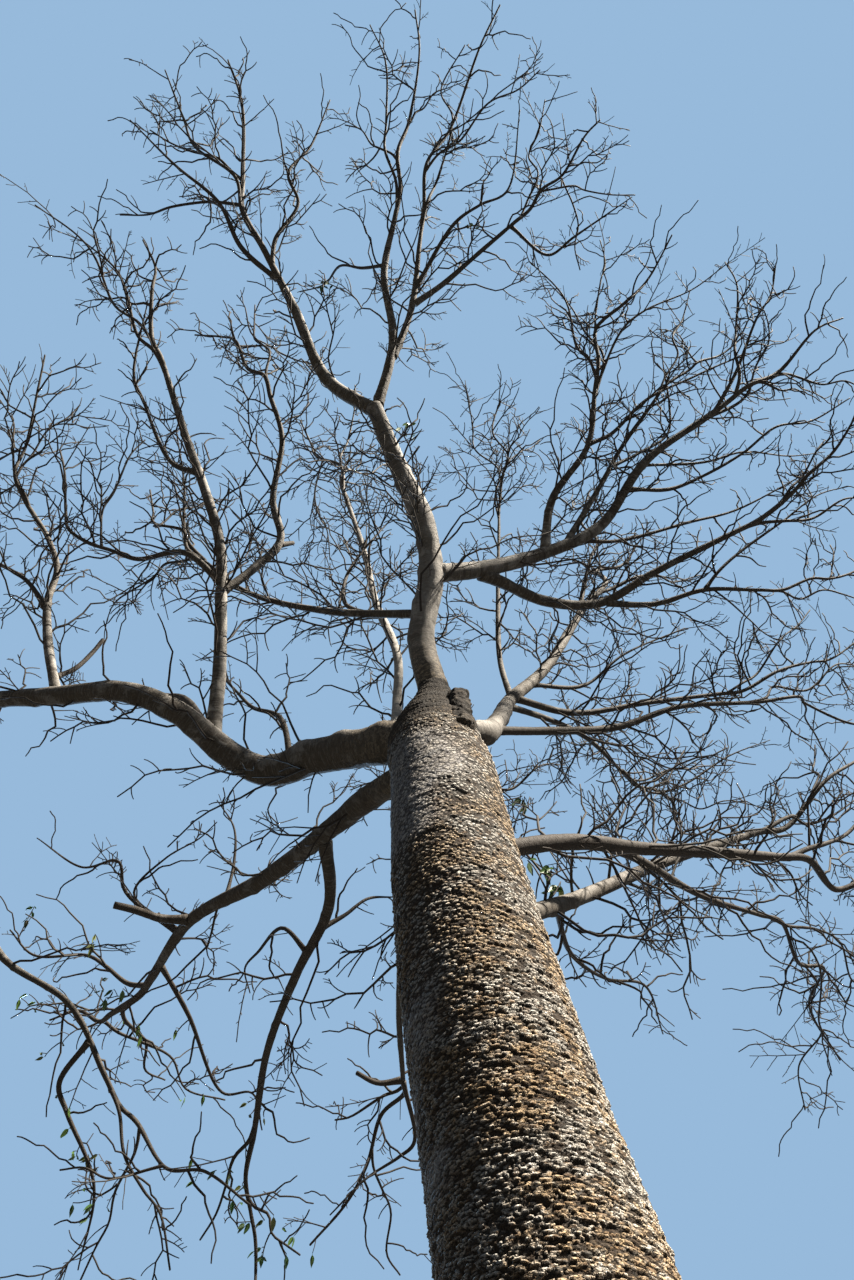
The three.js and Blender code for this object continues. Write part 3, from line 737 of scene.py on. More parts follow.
def first_rank(piece, spacing, offset, sizes, stretch=1.0, start=0.0):
    """Twigs of the rule, with small uneven corners along their two stretches, bowed to one side."""
    foot, first, second, reach, share, seed = coarse_twigs(piece, spacing, offset, stretch, start)
    count = TWIG_POINTS[0]
    way = np.linspace(0, 1, count)[None, :, None]
    late = np.maximum(0, way - 0.5)
    reach = reach[:, None, None]
    path = foot[:, None] + reach * (first[:, None] * (way - late) + second[:, None] * late)
    side = square_to(first, math.pi * spread(seed, SIDE))[:, None]
    cross = np.cross(first, side[:, 0])[:, None]
    fade = np.sin(math.pi * way) ** 0.5
    swing = spread(seed[:, None], CORNER_DRAWS + np.arange(count))[..., None] * fade
    other_swing = spread(seed[:, None], CROSS_CORNER_DRAWS + np.arange(count))[..., None] * fade
    path = path + reach * sizes.corner_share * (side * swing + cross * other_swing)
    bow = spread(seed, BOW)[:, None, None]
    path = path + side * reach * sizes.arc_share * (np.sin(math.pi * way) + bow * np.sin(2 * math.pi * way))
    return Twigs(0, path, piece.radius(share), seed, tone_of(seed), np.full(len(seed), piece.group))


def tone_of(seed):
    """Which of the twigs' tones a twig and all that grows on it has."""
    return (next_seed(seed, TONE) % TWIG_TONES).astype(int)


def skewed(reach, seed):
    """Lengths by chance, most of them short: a power of an even chance, from a fifth up to all."""
    even = next_seed(seed, REACH) / CHANCE_MODULUS
    return reach * (SHORTEST_SHARE + (1 - SHORTEST_SHARE) * even ** SHORT_BIAS)


def within_reach(twigs):
    """True for each twig that stays inside the solids' box, grown by a small share."""
    low, high = (np.array(corner) for corner in cad_box)
    spare = BOX_SPARE * (high - low)
    inside = (twigs.paths > low - spare) & (twigs.paths < high + spare)
    return np.all(inside, axis=(1, 2))


def next_rank(parents, chance, reach):
    """Twigs that leave the corners of other twigs on the outer side, as buds do. The longer the
    twig that they leave, the more of them there are."""
    rank = parents.rank + 1
    angle, kink, bow, draws = SIDE_RULES[rank]
    paths = parents.paths
    inner = paths[:, 1:-1]
    onward = unit(paths[:, 2:] - paths[:, :-2])
    outward = unit(2 * inner - paths[:, 2:] - paths[:, :-2] + SMALL_NUDGE)
    number = np.arange(1, paths.shape[1] - 1)
    seed = next_seed(parents.seed[:, None], number[None] + draws)
    turn = (OUTWARD_CHANCE * spread(seed, TURN))[..., None]
    side = unit(outward * np.cos(turn) + np.cross(onward, outward) * np.sin(turn))
    first = turned_from(onward, side, angle * (1 + SIDE_ANGLE_CHANCE * spread(seed, ANGLE)))
    share = (number / (paths.shape[1] - 1))[None]
    length = np.linalg.norm(paths[:, -1] - paths[:, 0], axis=-1)[:, None]
    wanted = skewed(reach, seed) * (SIDE_REACH_AT_FOOT - SIDE_REACH_LOSS * share)
    run = np.minimum(wanted, SIDE_LONGEST * length)
    room = smooth_step(length, SIDE_ROOM[0] * reach, SIDE_ROOM[1] * reach)
    pick = np.nonzero(next_seed(seed, CHOICE) / CHANCE_MODULUS < chance * room)
    grown = crooked(inner[pick], first[pick], run[pick], seed[pick], TWIG_POINTS[rank], kink, bow,
                    SIDE_LIFT)
    return Twigs(rank, grown, parents.radii[:, 1:-1][pick], seed[pick], parents.tone[pick[0]],
                 parents.group[pick[0]])


def side_shoots(piece, rank, spacing, reach, start):
    """Short twigs that leave a branch or the outer part of a limb directly."""
    draws, kink, bow = SHOOT_RULES[rank]
    count = max(1, math.floor(piece.length * (1 - start) / spacing))
    index = np.arange(count)
    seed = next_seed(piece.seed, index + draws)
    share = start + (1 - start) * (index + 0.5 + SHOOT_UNEVEN * spread(seed, PLACE)) / count
    onward = piece.course.heading(share)
    side = square_to(onward, GOLDEN_TURN * index + spread(seed, TURN) + draws)
    first = turned_from(onward, side, SHOOT_ANGLE * (1 + SIDE_ANGLE_CHANCE * spread(seed, ANGLE)))
    grown = crooked(piece.course.even(share), first, skewed(reach, seed), seed, TWIG_POINTS[rank], kink,
                    bow, SHOOT_LIFT)
    return Twigs(rank, grown, piece.radius(share), seed, tone_of(seed), np.full(count, piece.group))


def clear_of_limbs(twigs, limbs, spare):
    """True for each twig whose outer half keeps clear of every limb and above a hand's reach."""
    spots = twigs.paths[:, twigs.paths.shape[1] // 2:]
    clear = np.all(spots[..., 2] > EYE[2], axis=1)
    share = np.linspace(0, 1, LIMB_PROBES + 1)
    for limb in limbs:
        probes = limb.course.even(share)
        gaps = np.linalg.norm(spots[:, :, None] - probes, axis=-1) - limb.radius(share)
        clear &= np.all(gaps > spare, axis=(1, 2))
    return clear


def in_own_space(twigs, own, others):
    """True for each twig that is nearer to its own spine than to any other mass's."""
    spots = twigs.paths[:, twigs.paths.shape[1] // 2:]
    near_own = np.linalg.norm(spots[:, :, None] - own, axis=-1).min(axis=2)
    near_others = np.linalg.norm(spots[:, :, None] - others, axis=-1).min(axis=2)
    return np.all(near_own + SPACE_MARGIN < near_others, axis=1)


def beside_trunk(twigs):
    """True for each twig that passes neither in front of the trunk nor over the clear sights."""
    seen = shown(twigs.paths)
    height = np.linspace(SEEN_FROM, TRUNK_HEIGHT, GIRTH_PROBES)
    girth = trunk_girth(height)
    middle = np.stack([Trunk.side(height), 0 * height, height], axis=-1)
    edge = np.array([1.0, 0, 0]) * girth[:, None]
    left, right = shown(middle - edge), shown(middle + edge)
    order = np.argsort(left[:, 1])
    low = np.interp(seen[..., 1], left[order, 1], left[order, 0])
    high = np.interp(seen[..., 1], right[order, 1], right[order, 0])
    over = (seen[..., 0] > low) & (seen[..., 0] < high) & (seen[..., 1] > left[order[0], 1] + TOP_MARGIN)
    over &= twigs.paths[..., 1] < 0
    for sight in CLEAR_SIGHTS:
        over |= np.linalg.norm(seen - np.array(sight), axis=-1) < CLEAR_WIDTH
    return ~np.any(over, axis=1)


class Plan:
    """The whole tree as courses: limbs, the spines of the masses, lesser limbs and stubs."""

    def __init__(self):
        self.limbs = grow_limbs()
        with_spray = [limb for limb in self.limbs.values() if limb.spray]
        self.spines = {limb.name: spine_of(limb, order) for order, limb in enumerate(with_spray)}
        self.lesser = [self.lesser_limb(row, index) for index, row in enumerate(LESSER_LIMBS)]
        self.stubs = [self.lesser_limb(row, index + STUB_DRAWS) for index, row in enumerate(STUBS)]

    def lesser_limb(self, row, order):
        """A limb without a spray, from its row of a table."""
        parent_name, top, thick, seen = row
        parent = self.limbs[parent_name]
        limb = Limb(f"lesser_{order}", parent, parent.group, top, thick, seen)
        return Branch(limb.course, next_seed(SEED_TREE, order + LESSER_DRAWS), 0.5 * thick[0],
                      0.5 * thick[1], parent.group, parent_name, parent)


plan = Plan()


def plenty_of(piece):
    """How many times as many fine twigs as elsewhere a branch has, by its mass or its group."""
    return PLENTY.get(piece.mass, PLENTY[piece.group])


def grow_twigs(sizes):
    """Every twig of the crown in four ranks, each rank as whole arrays."""
    ranks = [[], [], []]
    limbs = list(plan.limbs.values())
    share = np.linspace(0, 1, SPINE_PROBES + 1)
    probes = {name: np.concatenate([piece.course.even(share) for piece in spine])
              for name, spine in plan.spines.items()}

    def twigs_on(piece, spacing, start, draws, stretch=1.0):
        """Twigs of the first rank, as many as that part of the crown has."""
        return first_rank(piece, spacing / plenty_of(piece), draws, sizes, stretch, start)

    def add_shoots(piece, spacings, starts):
        """Adds shoots to the second rank and spurs to the third."""
        reaches = (sizes.shoot_reach, sizes.spur_reach)
        for rank, spacing, reach, start in zip((1, 2), spacings, reaches, starts):
            ranks[rank].append(side_shoots(piece, rank, spacing / plenty_of(piece), reach, start))

    on_masses = (sizes.shoot_spacing, sizes.spur_spacing)
    on_limbs = (sizes.limb_shoot_spacing, sizes.limb_spur_spacing)
    for name, spine in plan.spines.items():
        others = np.concatenate([spots for other, spots in probes.items() if other != name])
        for piece in spine:
            both = Twigs.together([
                first_rank(piece, TWIG_SPACING, 0, sizes),
                twigs_on(piece, sizes.twig_spacing, SPINE_STARTS[0], FINE_TWIG_DRAWS)])
            kept = clear_of_limbs(both, limbs, LIMB_CLEARANCE) & in_own_space(both, probes[name], others)
            ranks[0].append(both.only(kept))
            add_shoots(piece, on_masses, SPINE_STARTS[1:])
    for piece in plan.lesser:
        ranks[0].append(twigs_on(piece, sizes.twig_spacing, LESSER_STARTS[0], 0, LESSER_STRETCH))
        add_shoots(piece, on_masses, LESSER_STARTS[1:])
    for order, limb in enumerate(limbs):
        outer = Branch(limb.course, next_seed(SEED_TREE, order + LIMB_DRAWS), 0.5 * limb.thick[0],
                       0.5 * limb.thick[1], limb.group, limb.name)
        ranks[0].append(twigs_on(outer, sizes.limb_twig_spacing, LIMB_STARTS[0], LIMB_TWIG_DRAWS,
                                 sizes.limb_twig_stretch))
        add_shoots(outer, on_limbs, LIMB_STARTS[1:])
    first = Twigs.together(ranks[0])
    first = first.only(clear_of_limbs(first, limbs, RANK_CLEARANCES[0]) & beside_trunk(first)
                       & within_reach(first))
    second = Twigs.together(ranks[1] + [next_rank(first, sizes.second_chance, sizes.second_reach)])
    second = second.only(clear_of_limbs(second, limbs, RANK_CLEARANCES[1]) & beside_trunk(second)
                         & within_reach(second))
    third = Twigs.together(ranks[2] + [next_rank(second, sizes.third_chance, sizes.third_reach)])
    third = third.only(beside_trunk(third) & within_reach(third))
    return [first, second, third, next_rank(third, sizes.fourth_chance, sizes.fourth_reach)]


def ring_faces(rings, sides):
    """Quads between the rings of a tube, with the triangles that close its foot and its tip.

    The rings' points come first, then the middle of the foot and the point of the tip."""
    ring, side = np.meshgrid(np.arange(rings - 1), np.arange(sides), indexing="ij")
    beside = (side + 1) % sides
    quads = np.stack([ring * sides + side, ring * sides + beside, (ring + 1) * sides + beside,
                      (ring + 1) * sides + side], axis=-1).reshape(-1, 4)
    edge = np.arange(sides)
    after = (edge + 1) % sides
    foot = np.stack([after, edge, np.full(sides, rings * sides)], axis=-1)
    last = (rings - 1) * sides
    tip = np.stack([last + edge, last + after, np.full(sides, rings * sides + 1)], axis=-1)
    return quads, np.concatenate([foot, tip])


def frames_along(paths):
    """At each point of each path: the heading, and two directions square to it that don't twist."""
    heading = unit(np.gradient(paths, axis=-2))
    across = square_to(heading[:, 0], 0.0)
    sides = []
    for index in range(paths.shape[1]):
        across = unit(across - heading[:, index] * dot(across, heading[:, index]))
        sides.append(across)
    across = np.stack(sides, axis=1)
    return heading, across, np.cross(heading, across)


def stick_arrays(twigs):
    """Tapering sticks: rings of even points round each path, closed at the foot and the tip."""
    sides = TWIG_SIDES[twigs.rank]
    count, rings = twigs.paths.shape[:2]
    heading, across, other = frames_along(twigs.paths)
    turn = np.arange(sides) * 2 * math.pi / sides
    circle = across[:, :, None] * np.cos(turn)[:, None] + other[:, :, None] * np.sin(turn)[:, None]
    walls = twigs.paths[:, :, None] + circle * twigs.radii[:, :, None, None]
    feet = twigs.paths[:, :1] - heading[:, :1] * twigs.radii[:, :1, None]
    tips = twigs.paths[:, -1:] + heading[:, -1:] * twigs.radii[:, -1:, None]
    vertices = np.concatenate([walls.reshape(count, -1, 3), feet, tips], axis=1)
    quads, triangles = ring_faces(rings, sides)
    shift = (np.arange(count) * vertices.shape[1])[:, None, None]
    return vertices.reshape(-1, 3), (quads + shift).reshape(-1, 4), (triangles + shift).reshape(-1, 3)


class Surface:
    """Vertices, quads and triangles gathered from many parts, with one tone number per face and
    marks of three numbers per vertex, each kind of mark under its own name."""

    def __init__(self):
        self.parts = {}
        self.count = 0

    def add(self, vertices, quads, triangles, quad_tones=0, triangle_tones=0, **marks):
        """Adds one part, whose faces count its own vertices from zero."""
        given = dict(vertices=vertices, quads=quads + self.count, triangles=triangles + self.count,
                     quad_tones=np.zeros(len(quads), int) + quad_tones,
                     triangle_tones=np.zeros(len(triangles), int) + triangle_tones, **marks)
        for name, part in given.items():
            self.parts.setdefault(name, []).append(part)
        self.count += len(vertices)

    def joined(self, name):
        """One array of all the parts."""
        return np.concatenate(self.parts[name])


def make_piece(name, surface, materials, nodes):
    """Puts a surface into a mesh object that rides on the tree and stands for the named nodes."""
    mesh = bpy.data.meshes.new(name)
    vertices = surface.joined("vertices").astype(np.float32)
    quads = surface.joined("quads")
    triangles = surface.joined("triangles")
    corners = np.concatenate([quads.ravel(), triangles.ravel()]).astype(np.int32)
    starts = np.concatenate([np.arange(len(quads)) * 4, len(quads) * 4 + np.arange(len(triangles)) * 3])
    mesh.vertices.add(len(vertices))
    mesh.vertices.foreach_set("co", vertices.ravel())
    mesh.loops.add(len(corners))
    mesh.loops.foreach_set("vertex_index", corners)
    mesh.polygons.add(len(starts))
    mesh.polygons.foreach_set("loop_start", starts.astype(np.int32))
    for material in materials:
        mesh.materials.append(material)
    tones = np.concatenate([surface.joined("quad_tones"), surface.joined("triangle_tones")])
    mesh.polygons.foreach_set("material_index", tones.astype(np.int32))
    mesh.update(calc_edges=True)
    mesh.shade_smooth()
    for mark in ("bark_marks", "bark_place", "bark_foot"):
        if mark in surface.parts:
            attribute = mesh.attributes.new(mark, "FLOAT_VECTOR", "POINT")
            attribute.data.foreach_set("vector", surface.joined(mark).astype(np.float32).ravel())
    piece = bpy.data.objects.new(name, mesh)
    bpy.context.scene.collection.objects.link(piece)
    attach(piece, "root")
    if nodes:
        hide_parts(*nodes)
    return piece


# The trunk's mesh: finer in front and at the heights that are seen close
TRUNK_COLUMNS = 288
FRONT_TURN = math.radians(-98)
FRONT_FINER = 0.33
CLOSE_ROWS = [(0, 0.0135), (2.4, 0.0135), (2.9, 0.0054), (5.0, 0.0054), (7.5, 0.0074), (9.0, 0.0085),
              (9.78, 0.01)]
ROW_LEVELS = 4000
PIECE_LIMIT = 195000

# The neck under the leader, and the collars round the limbs that leave the trunk
NECK_LOSS = 0.66
NECK_FROM = 7.9
NECK_TO = 10.0
COLLAR_LIFT = 0.62
COLLAR_REACH = 1.7
COLLAR_PROBES = 200

# How the bark's flakes interlock: the radius on which they are laid out, the heights between which
# they grow taller, how far their middles stray in a cell, how much of their height they overlap, how
# many of them a slab is wide and high, how clouds warp both, and how they slant between two heights
BARK_RADIUS = 0.45
FLAKE_LEVELS = 400
FLAKE_GROWTH = (4.2, 7.6)
FLAKE_ASIDE = 0.75
FLAKE_ABOVE = 0.8
FLAKE_OVERLAP = 0.6
SLAB_FLAKES = 3
FLAKE_WARP = (0.4, 0.5)
SLAB_WARP = (0.3, 0.4)
SLANT = 0.8
SLANT_RANGE = (3.5, 6.5)
FLAKE_SEED = 21
SLAB_SEED = 22

# Layers of clouds, each with its fineness, its share and its seed
SIDE_WARPS = [(12, 1.0, 11), (31, 0.5, 12)]
RISE_WARPS = [(12, 1.0, 13), (31, 0.5, 14)]
PATCHES = [(1.7, 1.0, 15), (4.5, 0.5, 16)]
SWELLINGS = [(1.3, 0.014, 17), (4, 0.006, 18)]
GRIT = [(70, 0.0012, 19)]
FOLDS = [(1, 1.0, 20), (2, 0.5, 25)]
FOLD_FINENESS = np.array([3, 3, 24])
FOLD_DEPTH = 0.011
BLOTCHES = [(3.1, 0.7, 23), (11, 0.6, 24)]

# Where the bark is worn smooth: towards one side, between two ragged edges, in patches
WORN_TURN = math.radians(-142)
WORN_REACH = 0.95
WORN_PATCHES = 0.7
WORN_FOOT = (7.1, 6.2)
WORN_TOP = (8.1, 8.6)
WORN_RAGGED = 0.3
WORN_FADE = 0.75
WORN_EDGE = (0.2, 0.9)

# Where the wrinkled neck begins, and how ragged and how tilted its edge is
NECK_EDGE = (8.3, 8.85)
NECK_RAGGED = 0.15
NECK_TILT = 0.1

# How much of the relief the worn side and the neck lose, and how much a flake or slab lacks
WORN_RELIEF_LOSS = 0.72
NECK_RELIEF_LOSS = 0.45
FALLEN_LOSS = 0.85
SLIT_LOSS = 0.4
THINNEST_FLAKE = 0.35
THINNEST_SLAB = 0.4
LEAST_SLAB_RELIEF = 0.4

# The edges of the flakes, wider where slits part them, those of the slabs, which tints have fallen
# off, and where the shade under a flake's lower edge lies
SLIT_RANGE = (4.5, 7.5)
PLATE_EDGES = ((0.03, 0.11), (0.19, 0.09))
SLAB_EDGE = (0.0, 0.07)
FALLEN_EDGE = (0.22, 0.16)
UNDER_EDGE = (0.12, 0.42)

# How a flake or slab thickens towards its lower edge: its level in the middle, and its slope
FLAKE_RAMP = (0.55, 1.3)
SLAB_RAMP = (0.5, 1.2)
EVEN_LIFT = 0.25
GAP_DEPTH = 0.35

# Shares of what makes up the painted shade in a gap, and how much the worn side and the neck lighten it
SLAB_GAP = 0.8
UNDER_SHADE = 0.5
FALLEN_GAP = 0.5
WORN_GAP_LOSS = 0.5
NECK_GAP_LOSS = 0.35

# How far a flake's and a slab's tint decide on its lichen, and where it sets in
FLAKE_LICHEN = 1.3
SLAB_LICHEN = 0.9
LICHEN_EDGE = (0.0, 0.8)
FOOT_FADE = (-0.05, 0.12)


def neck_girth(height):
    """The trunk's radius under its bark: an even taper, drawn in by a slow step to a neck."""
    taper = TRUNK_RADIUS - TRUNK_TAPER * height
    return taper * (1 - NECK_LOSS * smooth_step(height, NECK_FROM, NECK_TO))


def trunk_rows():
    """Heights of the rows, from a row spacing that is small where the trunk is seen close."""
    height = np.linspace(0, TRUNK_HEIGHT, ROW_LEVELS)
    density = 1 / np.interp(height, *np.array(CLOSE_ROWS).T)
    counted = np.concatenate([[0], np.cumsum(0.5 * (density[1:] + density[:-1]) * np.diff(height))])
    return np.interp(np.linspace(0, counted[-1], int(counted[-1]) + 1), counted, height)


def trunk_turns():
    """Turns of the columns round the trunk, closer together in front by a sine."""
    even = np.arange(TRUNK_COLUMNS) * 2 * math.pi / TRUNK_COLUMNS
    return even - FRONT_FINER * np.sin(even - FRONT_TURN)


def flake_rows(height, sizes):
    """How many rows of flakes lie below a height: the sum of one over the row height, which grows
    from the foot to the top."""
    level = np.linspace(0, TRUNK_HEIGHT, FLAKE_LEVELS)
    growth = sizes.top_flake_height - sizes.flake_height
    tall = sizes.flake_height + growth * smooth_step(level, *FLAKE_GROWTH)
    counted = np.concatenate([[0], np.cumsum(np.diff(level) / (0.5 * (tall[1:] + tall[:-1])))])
    return np.interp(height, level, counted)


def flakes(around, up, cells_around, seed):
    """Lens-shaped cells of a jittered brickwork: how far inside its cell a place lies, the cell's
    own number, and how far above the cell's middle. The two nearest middles are compared."""
    nearest = np.full(around.shape, math.inf)
    second = np.full(around.shape, math.inf)
    own = np.zeros(around.shape)
    above = np.zeros(around.shape)
    row0 = np.floor(up).astype(np.int64)
    for row_step in (-2, -1, 0, 1, 2):
        row = row0 + row_step
        shifted = around - 0.5 * (row % 2)
        column0 = np.floor(shifted).astype(np.int64)
        for column_step in (-1, 0, 1):
            column = column0 + column_step
            cell = column % cells_around
            side = column + 0.5 + FLAKE_ASIDE * (lattice(cell, row, 1, seed) - 0.5) - shifted
            rise = row + 0.5 + FLAKE_ABOVE * (lattice(cell, row, 2, seed) - 0.5) - up
            rise = FLAKE_OVERLAP * rise
            gap = np.hypot(side, rise)
            nearer = gap < nearest
            second = np.where(nearer, nearest, np.minimum(second, gap))
            own = np.where(nearer, lattice(cell, row, 3, seed), own)
            above = np.where(nearer, -rise, above)
            nearest = np.where(nearer, gap, nearest)
    return second - nearest, own, above


def collar_at(turn, height):
    """The swelling of the trunk round the foot of each limb that leaves it: a bell curve."""
    swell = np.zeros(np.broadcast(turn, height).shape)
    for limb in plan.limbs.values():
        if limb.parent is not Trunk or limb.name == "leader":
            continue
        way = limb.course.even(np.linspace(0, 1, COLLAR_PROBES))
        out = np.hypot(way[:, 0] - Trunk.side(way[:, 2]), way[:, 1])
        leave = way[np.argmax(out > neck_girth(np.minimum(way[:, 2], TRUNK_HEIGHT)))]
        towards = math.atan2(leave[1], leave[0] - Trunk.side(leave[2]))
        reach = 0.5 * limb.thick[0]
        aside = half_turned(turn - towards)
        gap = (neck_girth(leave[2]) * aside) ** 2 + (height - leave[2]) ** 2
        swell += COLLAR_LIFT * reach * np.exp(-gap / (2 * (COLLAR_REACH * reach) ** 2))
    return swell


def worn_and_neck(turn, height, patch):
    """How worn the bark is, and how far it belongs to the neck."""
    towards = np.cos(turn - WORN_TURN)
    outside = smooth_step(height, *WORN_FOOT) + 2 * smooth_step(height + WORN_RAGGED * patch, *WORN_TOP)
    worn = smooth_step(WORN_REACH * towards + WORN_PATCHES * patch - WORN_FADE * outside, *WORN_EDGE)
    return worn, smooth_step(height + NECK_RAGGED * patch + NECK_TILT * towards, *NECK_EDGE)


def thicker_below(above, ramp):
    """From 0 high in a cell to 1 low in it, by a level in its middle and a slope."""
    level, slope = ramp
    return np.clip(level - slope * above, 0, 1)


def trunk_relief(turn, height, sizes):
    """The bark's relief over the trunk, and its marks: tint, gap (painted shade), lichen and worn, neck,
    slab.

    Lens-shaped flakes in a warped brickwork thicken towards their lower edge and end there in a
    step, as loose scales do. Some have fallen off. Slabs three times as large do the same below
    them. One side is worn smooth, with slits only. Slow swellings, and folds across the neck, are
    added."""
    turn, height = np.broadcast_arrays(turn, height)
    place = np.stack([BARK_RADIUS * np.cos(turn), BARK_RADIUS * np.sin(turn), height], axis=-1)
    aside = clouds(place, SIDE_WARPS)
    upward = clouds(place, RISE_WARPS)
    upward += SLANT * np.sin(turn - FRONT_TURN) * smooth_step(height, *SLANT_RANGE)
    cells = int(round(2 * math.pi * BARK_RADIUS / sizes.flake_width))
    slabs = cells // SLAB_FLAKES
    around = turn / (2 * math.pi)
    rows = flake_rows(height, sizes)
    inside, tint, above = flakes(around * cells + FLAKE_WARP[0] * aside,
                                 rows + FLAKE_WARP[1] * upward, cells, FLAKE_SEED)
    slab_rows = rows / SLAB_FLAKES + SLAB_WARP[1] * upward
    slab_inside, slab_tint, slab_above = flakes(around * slabs + SLAB_WARP[0] * aside, slab_rows, slabs,
                                                SLAB_SEED)

    worn, neck = worn_and_neck(turn, height, clouds(place, PATCHES))
    flaky = (1 - WORN_RELIEF_LOSS * worn) * (1 - NECK_RELIEF_LOSS * neck)
    slit = smooth_step(height, *SLIT_RANGE)
    plate = smooth_step(inside, *(edge + wider * slit for edge, wider in PLATE_EDGES))
    slab = smooth_step(slab_inside, *SLAB_EDGE)
    fallen = smooth_step(tint, *FALLEN_EDGE)
    thick = rise_from(THINNEST_FLAKE, tint) * (1 - FALLEN_LOSS * fallen)
    raised = plate * thick * (EVEN_LIFT + thicker_below(above, FLAKE_RAMP)) - GAP_DEPTH * (1 - plate)
    relief = sizes.flake_lift * (1 - SLIT_LOSS * slit) * flaky * raised
    slab_relief = sizes.slab_lift * (1 - neck) * rise_from(LEAST_SLAB_RELIEF, flaky) * slab
    relief += slab_relief * rise_from(THINNEST_SLAB, slab_tint) * thicker_below(slab_above, SLAB_RAMP)
    relief += clouds(place, SWELLINGS)
    relief += clouds(place, GRIT)
    relief += FOLD_DEPTH * neck * clouds(place * FOLD_FINENESS, FOLDS)

    # The gap mark is painted shade: between the flakes and slabs, under each flake's lower edge, and where
    # flakes have fallen off
    under = smooth_step(above, *UNDER_EDGE) * (1 - fallen)
    gap = np.maximum(1 - plate, SLAB_GAP * (1 - slab)) + UNDER_SHADE * under + FALLEN_GAP * fallen
    gap = np.clip(gap, 0, 1) * (1 - WORN_GAP_LOSS * worn) * (1 - NECK_GAP_LOSS * neck)
    lichen = clouds(place, BLOTCHES) + FLAKE_LICHEN * (tint - 0.5) + SLAB_LICHEN * (slab_tint - 0.5)
    lichen = smooth_step(lichen, *LICHEN_EDGE)
    marks = np.stack([tint, gap, lichen * (1 - fallen)], axis=-1)
    return relief, marks, np.stack([worn, neck, slab_tint], axis=-1)


def trunk_surface(sizes):
    """The trunk in level rings round its leaning middle: girth, flare, collars and relief."""
    rows = trunk_rows()[:, None]
    turns = trunk_turns()[None, :]
    relief, marks, places = trunk_relief(turns, rows, sizes)
    relief = relief * smooth_step(rows, *FOOT_FADE)
    radius = neck_girth(rows) + flare_at(rows, -turns) + collar_at(turns, rows) + relief
    x = Trunk.side(rows) + radius * np.cos(turns)
    y = radius * np.sin(turns)
    z = np.broadcast_to(rows, x.shape)
    return np.stack([x, y, z], axis=-1), marks, places


def band_arrays(points, *marks):
    """One band of the trunk between two rows, closed below and above by a flat fan."""
    rings, sides = points.shape[:2]
    quads, caps = ring_faces(rings, sides)
    middles = np.stack([points[0].mean(axis=0), points[-1].mean(axis=0)])
    walls = points.reshape(-1, 3)
    ends = np.concatenate([points[0], points[-1], middles])
    last = (rings - 1) * sides
    count = rings * sides
    caps = np.where(caps < sides, caps + count, caps)
    caps = np.where((caps >= last) & (caps < count), caps - last + count + sides, caps)
    foot, tip = caps[:sides].copy(), caps[sides:].copy()
    foot[:, 2] = count + 2 * sides
    tip[:, 2] = count + 2 * sides + 1
    carried = [np.concatenate([part.reshape(-1, 3), part[0], part[-1], part[0, :1], part[-1, :1]])
               for part in marks]
    return np.concatenate([walls, ends]), quads, np.concatenate([foot, tip]), *carried


# Where a limb's mesh starts: the probes along it and its parent, and the inner share of the parent
# that it has to leave. How close the points along it stand, by its thickness at the foot, and how
# many faces it may have round it.
START_PROBES = 120
PARENT_PROBES = 400
INNER_SHARE = 0.5
FEWEST_POINTS = 6
SPACING_SHARE = 0.17
SPACING_LIMITS = (0.02, 0.034)
SIDES_LIMITS = (7, 60)

# Leads and lesser limbs: the way from point to point, and how far the swelling at the foot reaches
LEAD_FORM = (0.055, 0.06)
LESSER_FORM = (0.04, 0.08)
FEWEST_RINGS = 8
FOOT_SWELL = 0.35

# The leader's radius at its foot, and how the east limb swells towards its foot
LEADER_FOOT = 0.142
EAST_SWELL = 0.12
EAST_SWELL_RANGE = (0.9, 0.1)

# The tone of the lesser limbs, how much of its paleness a limb loses between two ways from its foot,
# and the limbs on the trunk whose feet have no flakes
LESSER_TONE = -0.45
PALE_LOSS = 0.6
PALE_RANGE = (1.0, 2.8)
SMOOTH_FEET = ("east", "low_right", "low_right_pale", "inner")


def limb_path(limb, radius_at, stem, start, spacing):
    """Evenly spaced points and radii along a limb from its start, and on along its stem."""
    count = max(FEWEST_POINTS, math.ceil(limb.length * (1 - start) / spacing))
    share = start + (1 - start) * np.linspace(0, 1, count)
    points = limb.course.even(share)
    radii = radius_at(share)
    if stem is not None:
        more = np.linspace(0, 1, max(FEWEST_POINTS, math.ceil(stem.length / spacing)))[1:]
        points = np.vstack([points, stem.course.even(more)])
        radii = np.concatenate([radii, stem.radius(more)])
    return points, radii


def start_share(limb):
    """The first share at which a limb's middle leaves the inner half of its parent."""
    share = np.linspace(0, 1, START_PROBES)
    way = limb.course.even(share)
    parent_share = np.linspace(0, 1, PARENT_PROBES)
    spots = limb.parent.course.even(parent_share)
    gaps = np.linalg.norm(way[:, None] - spots, axis=-1)
    nearest = gaps.argmin(axis=1)
    outside = gaps[np.arange(len(way)), nearest] > INNER_SHARE * limb.parent.radius(parent_share[nearest])
    return share[np.argmax(outside)] if outside.any() else 0.0


# The side that the key light falls on: above, and towards the right. How far a limb's colour is
# painted lit by the way it faces that light, by its swellings and by its lumps, and the radius from
# which it counts as stout.
KEY_LIGHT_SIDE = np.array([0.62, -0.25, 0.74])
LIT_FACING = 0.55
LIT_SWELL = 0.25
LIT_LUMPS = 0.2
STOUT_RADIUS = 0.12

# The swellings, lumps, rings and fine rings on a limb, as clouds: the fineness round and along it,
# how many shifts by the limb's own seed there are, and the cloud's seed
LIMB_CLOUDS = (((2.5, 2.5, 1.6), 97, 31), ((9, 9, 6), 89, 32), ((5, 5, 34), 83, 33),
               ((12, 12, 80), 79, 34))
SWELL_DEPTH = 0.09
LUMP_DEPTH = 0.06
FINE_RINGS = 0.5

# How many sideways shifts of the bark's places there are, so that no two limbs look the same
PLACE_SHIFTS = (7, 11)

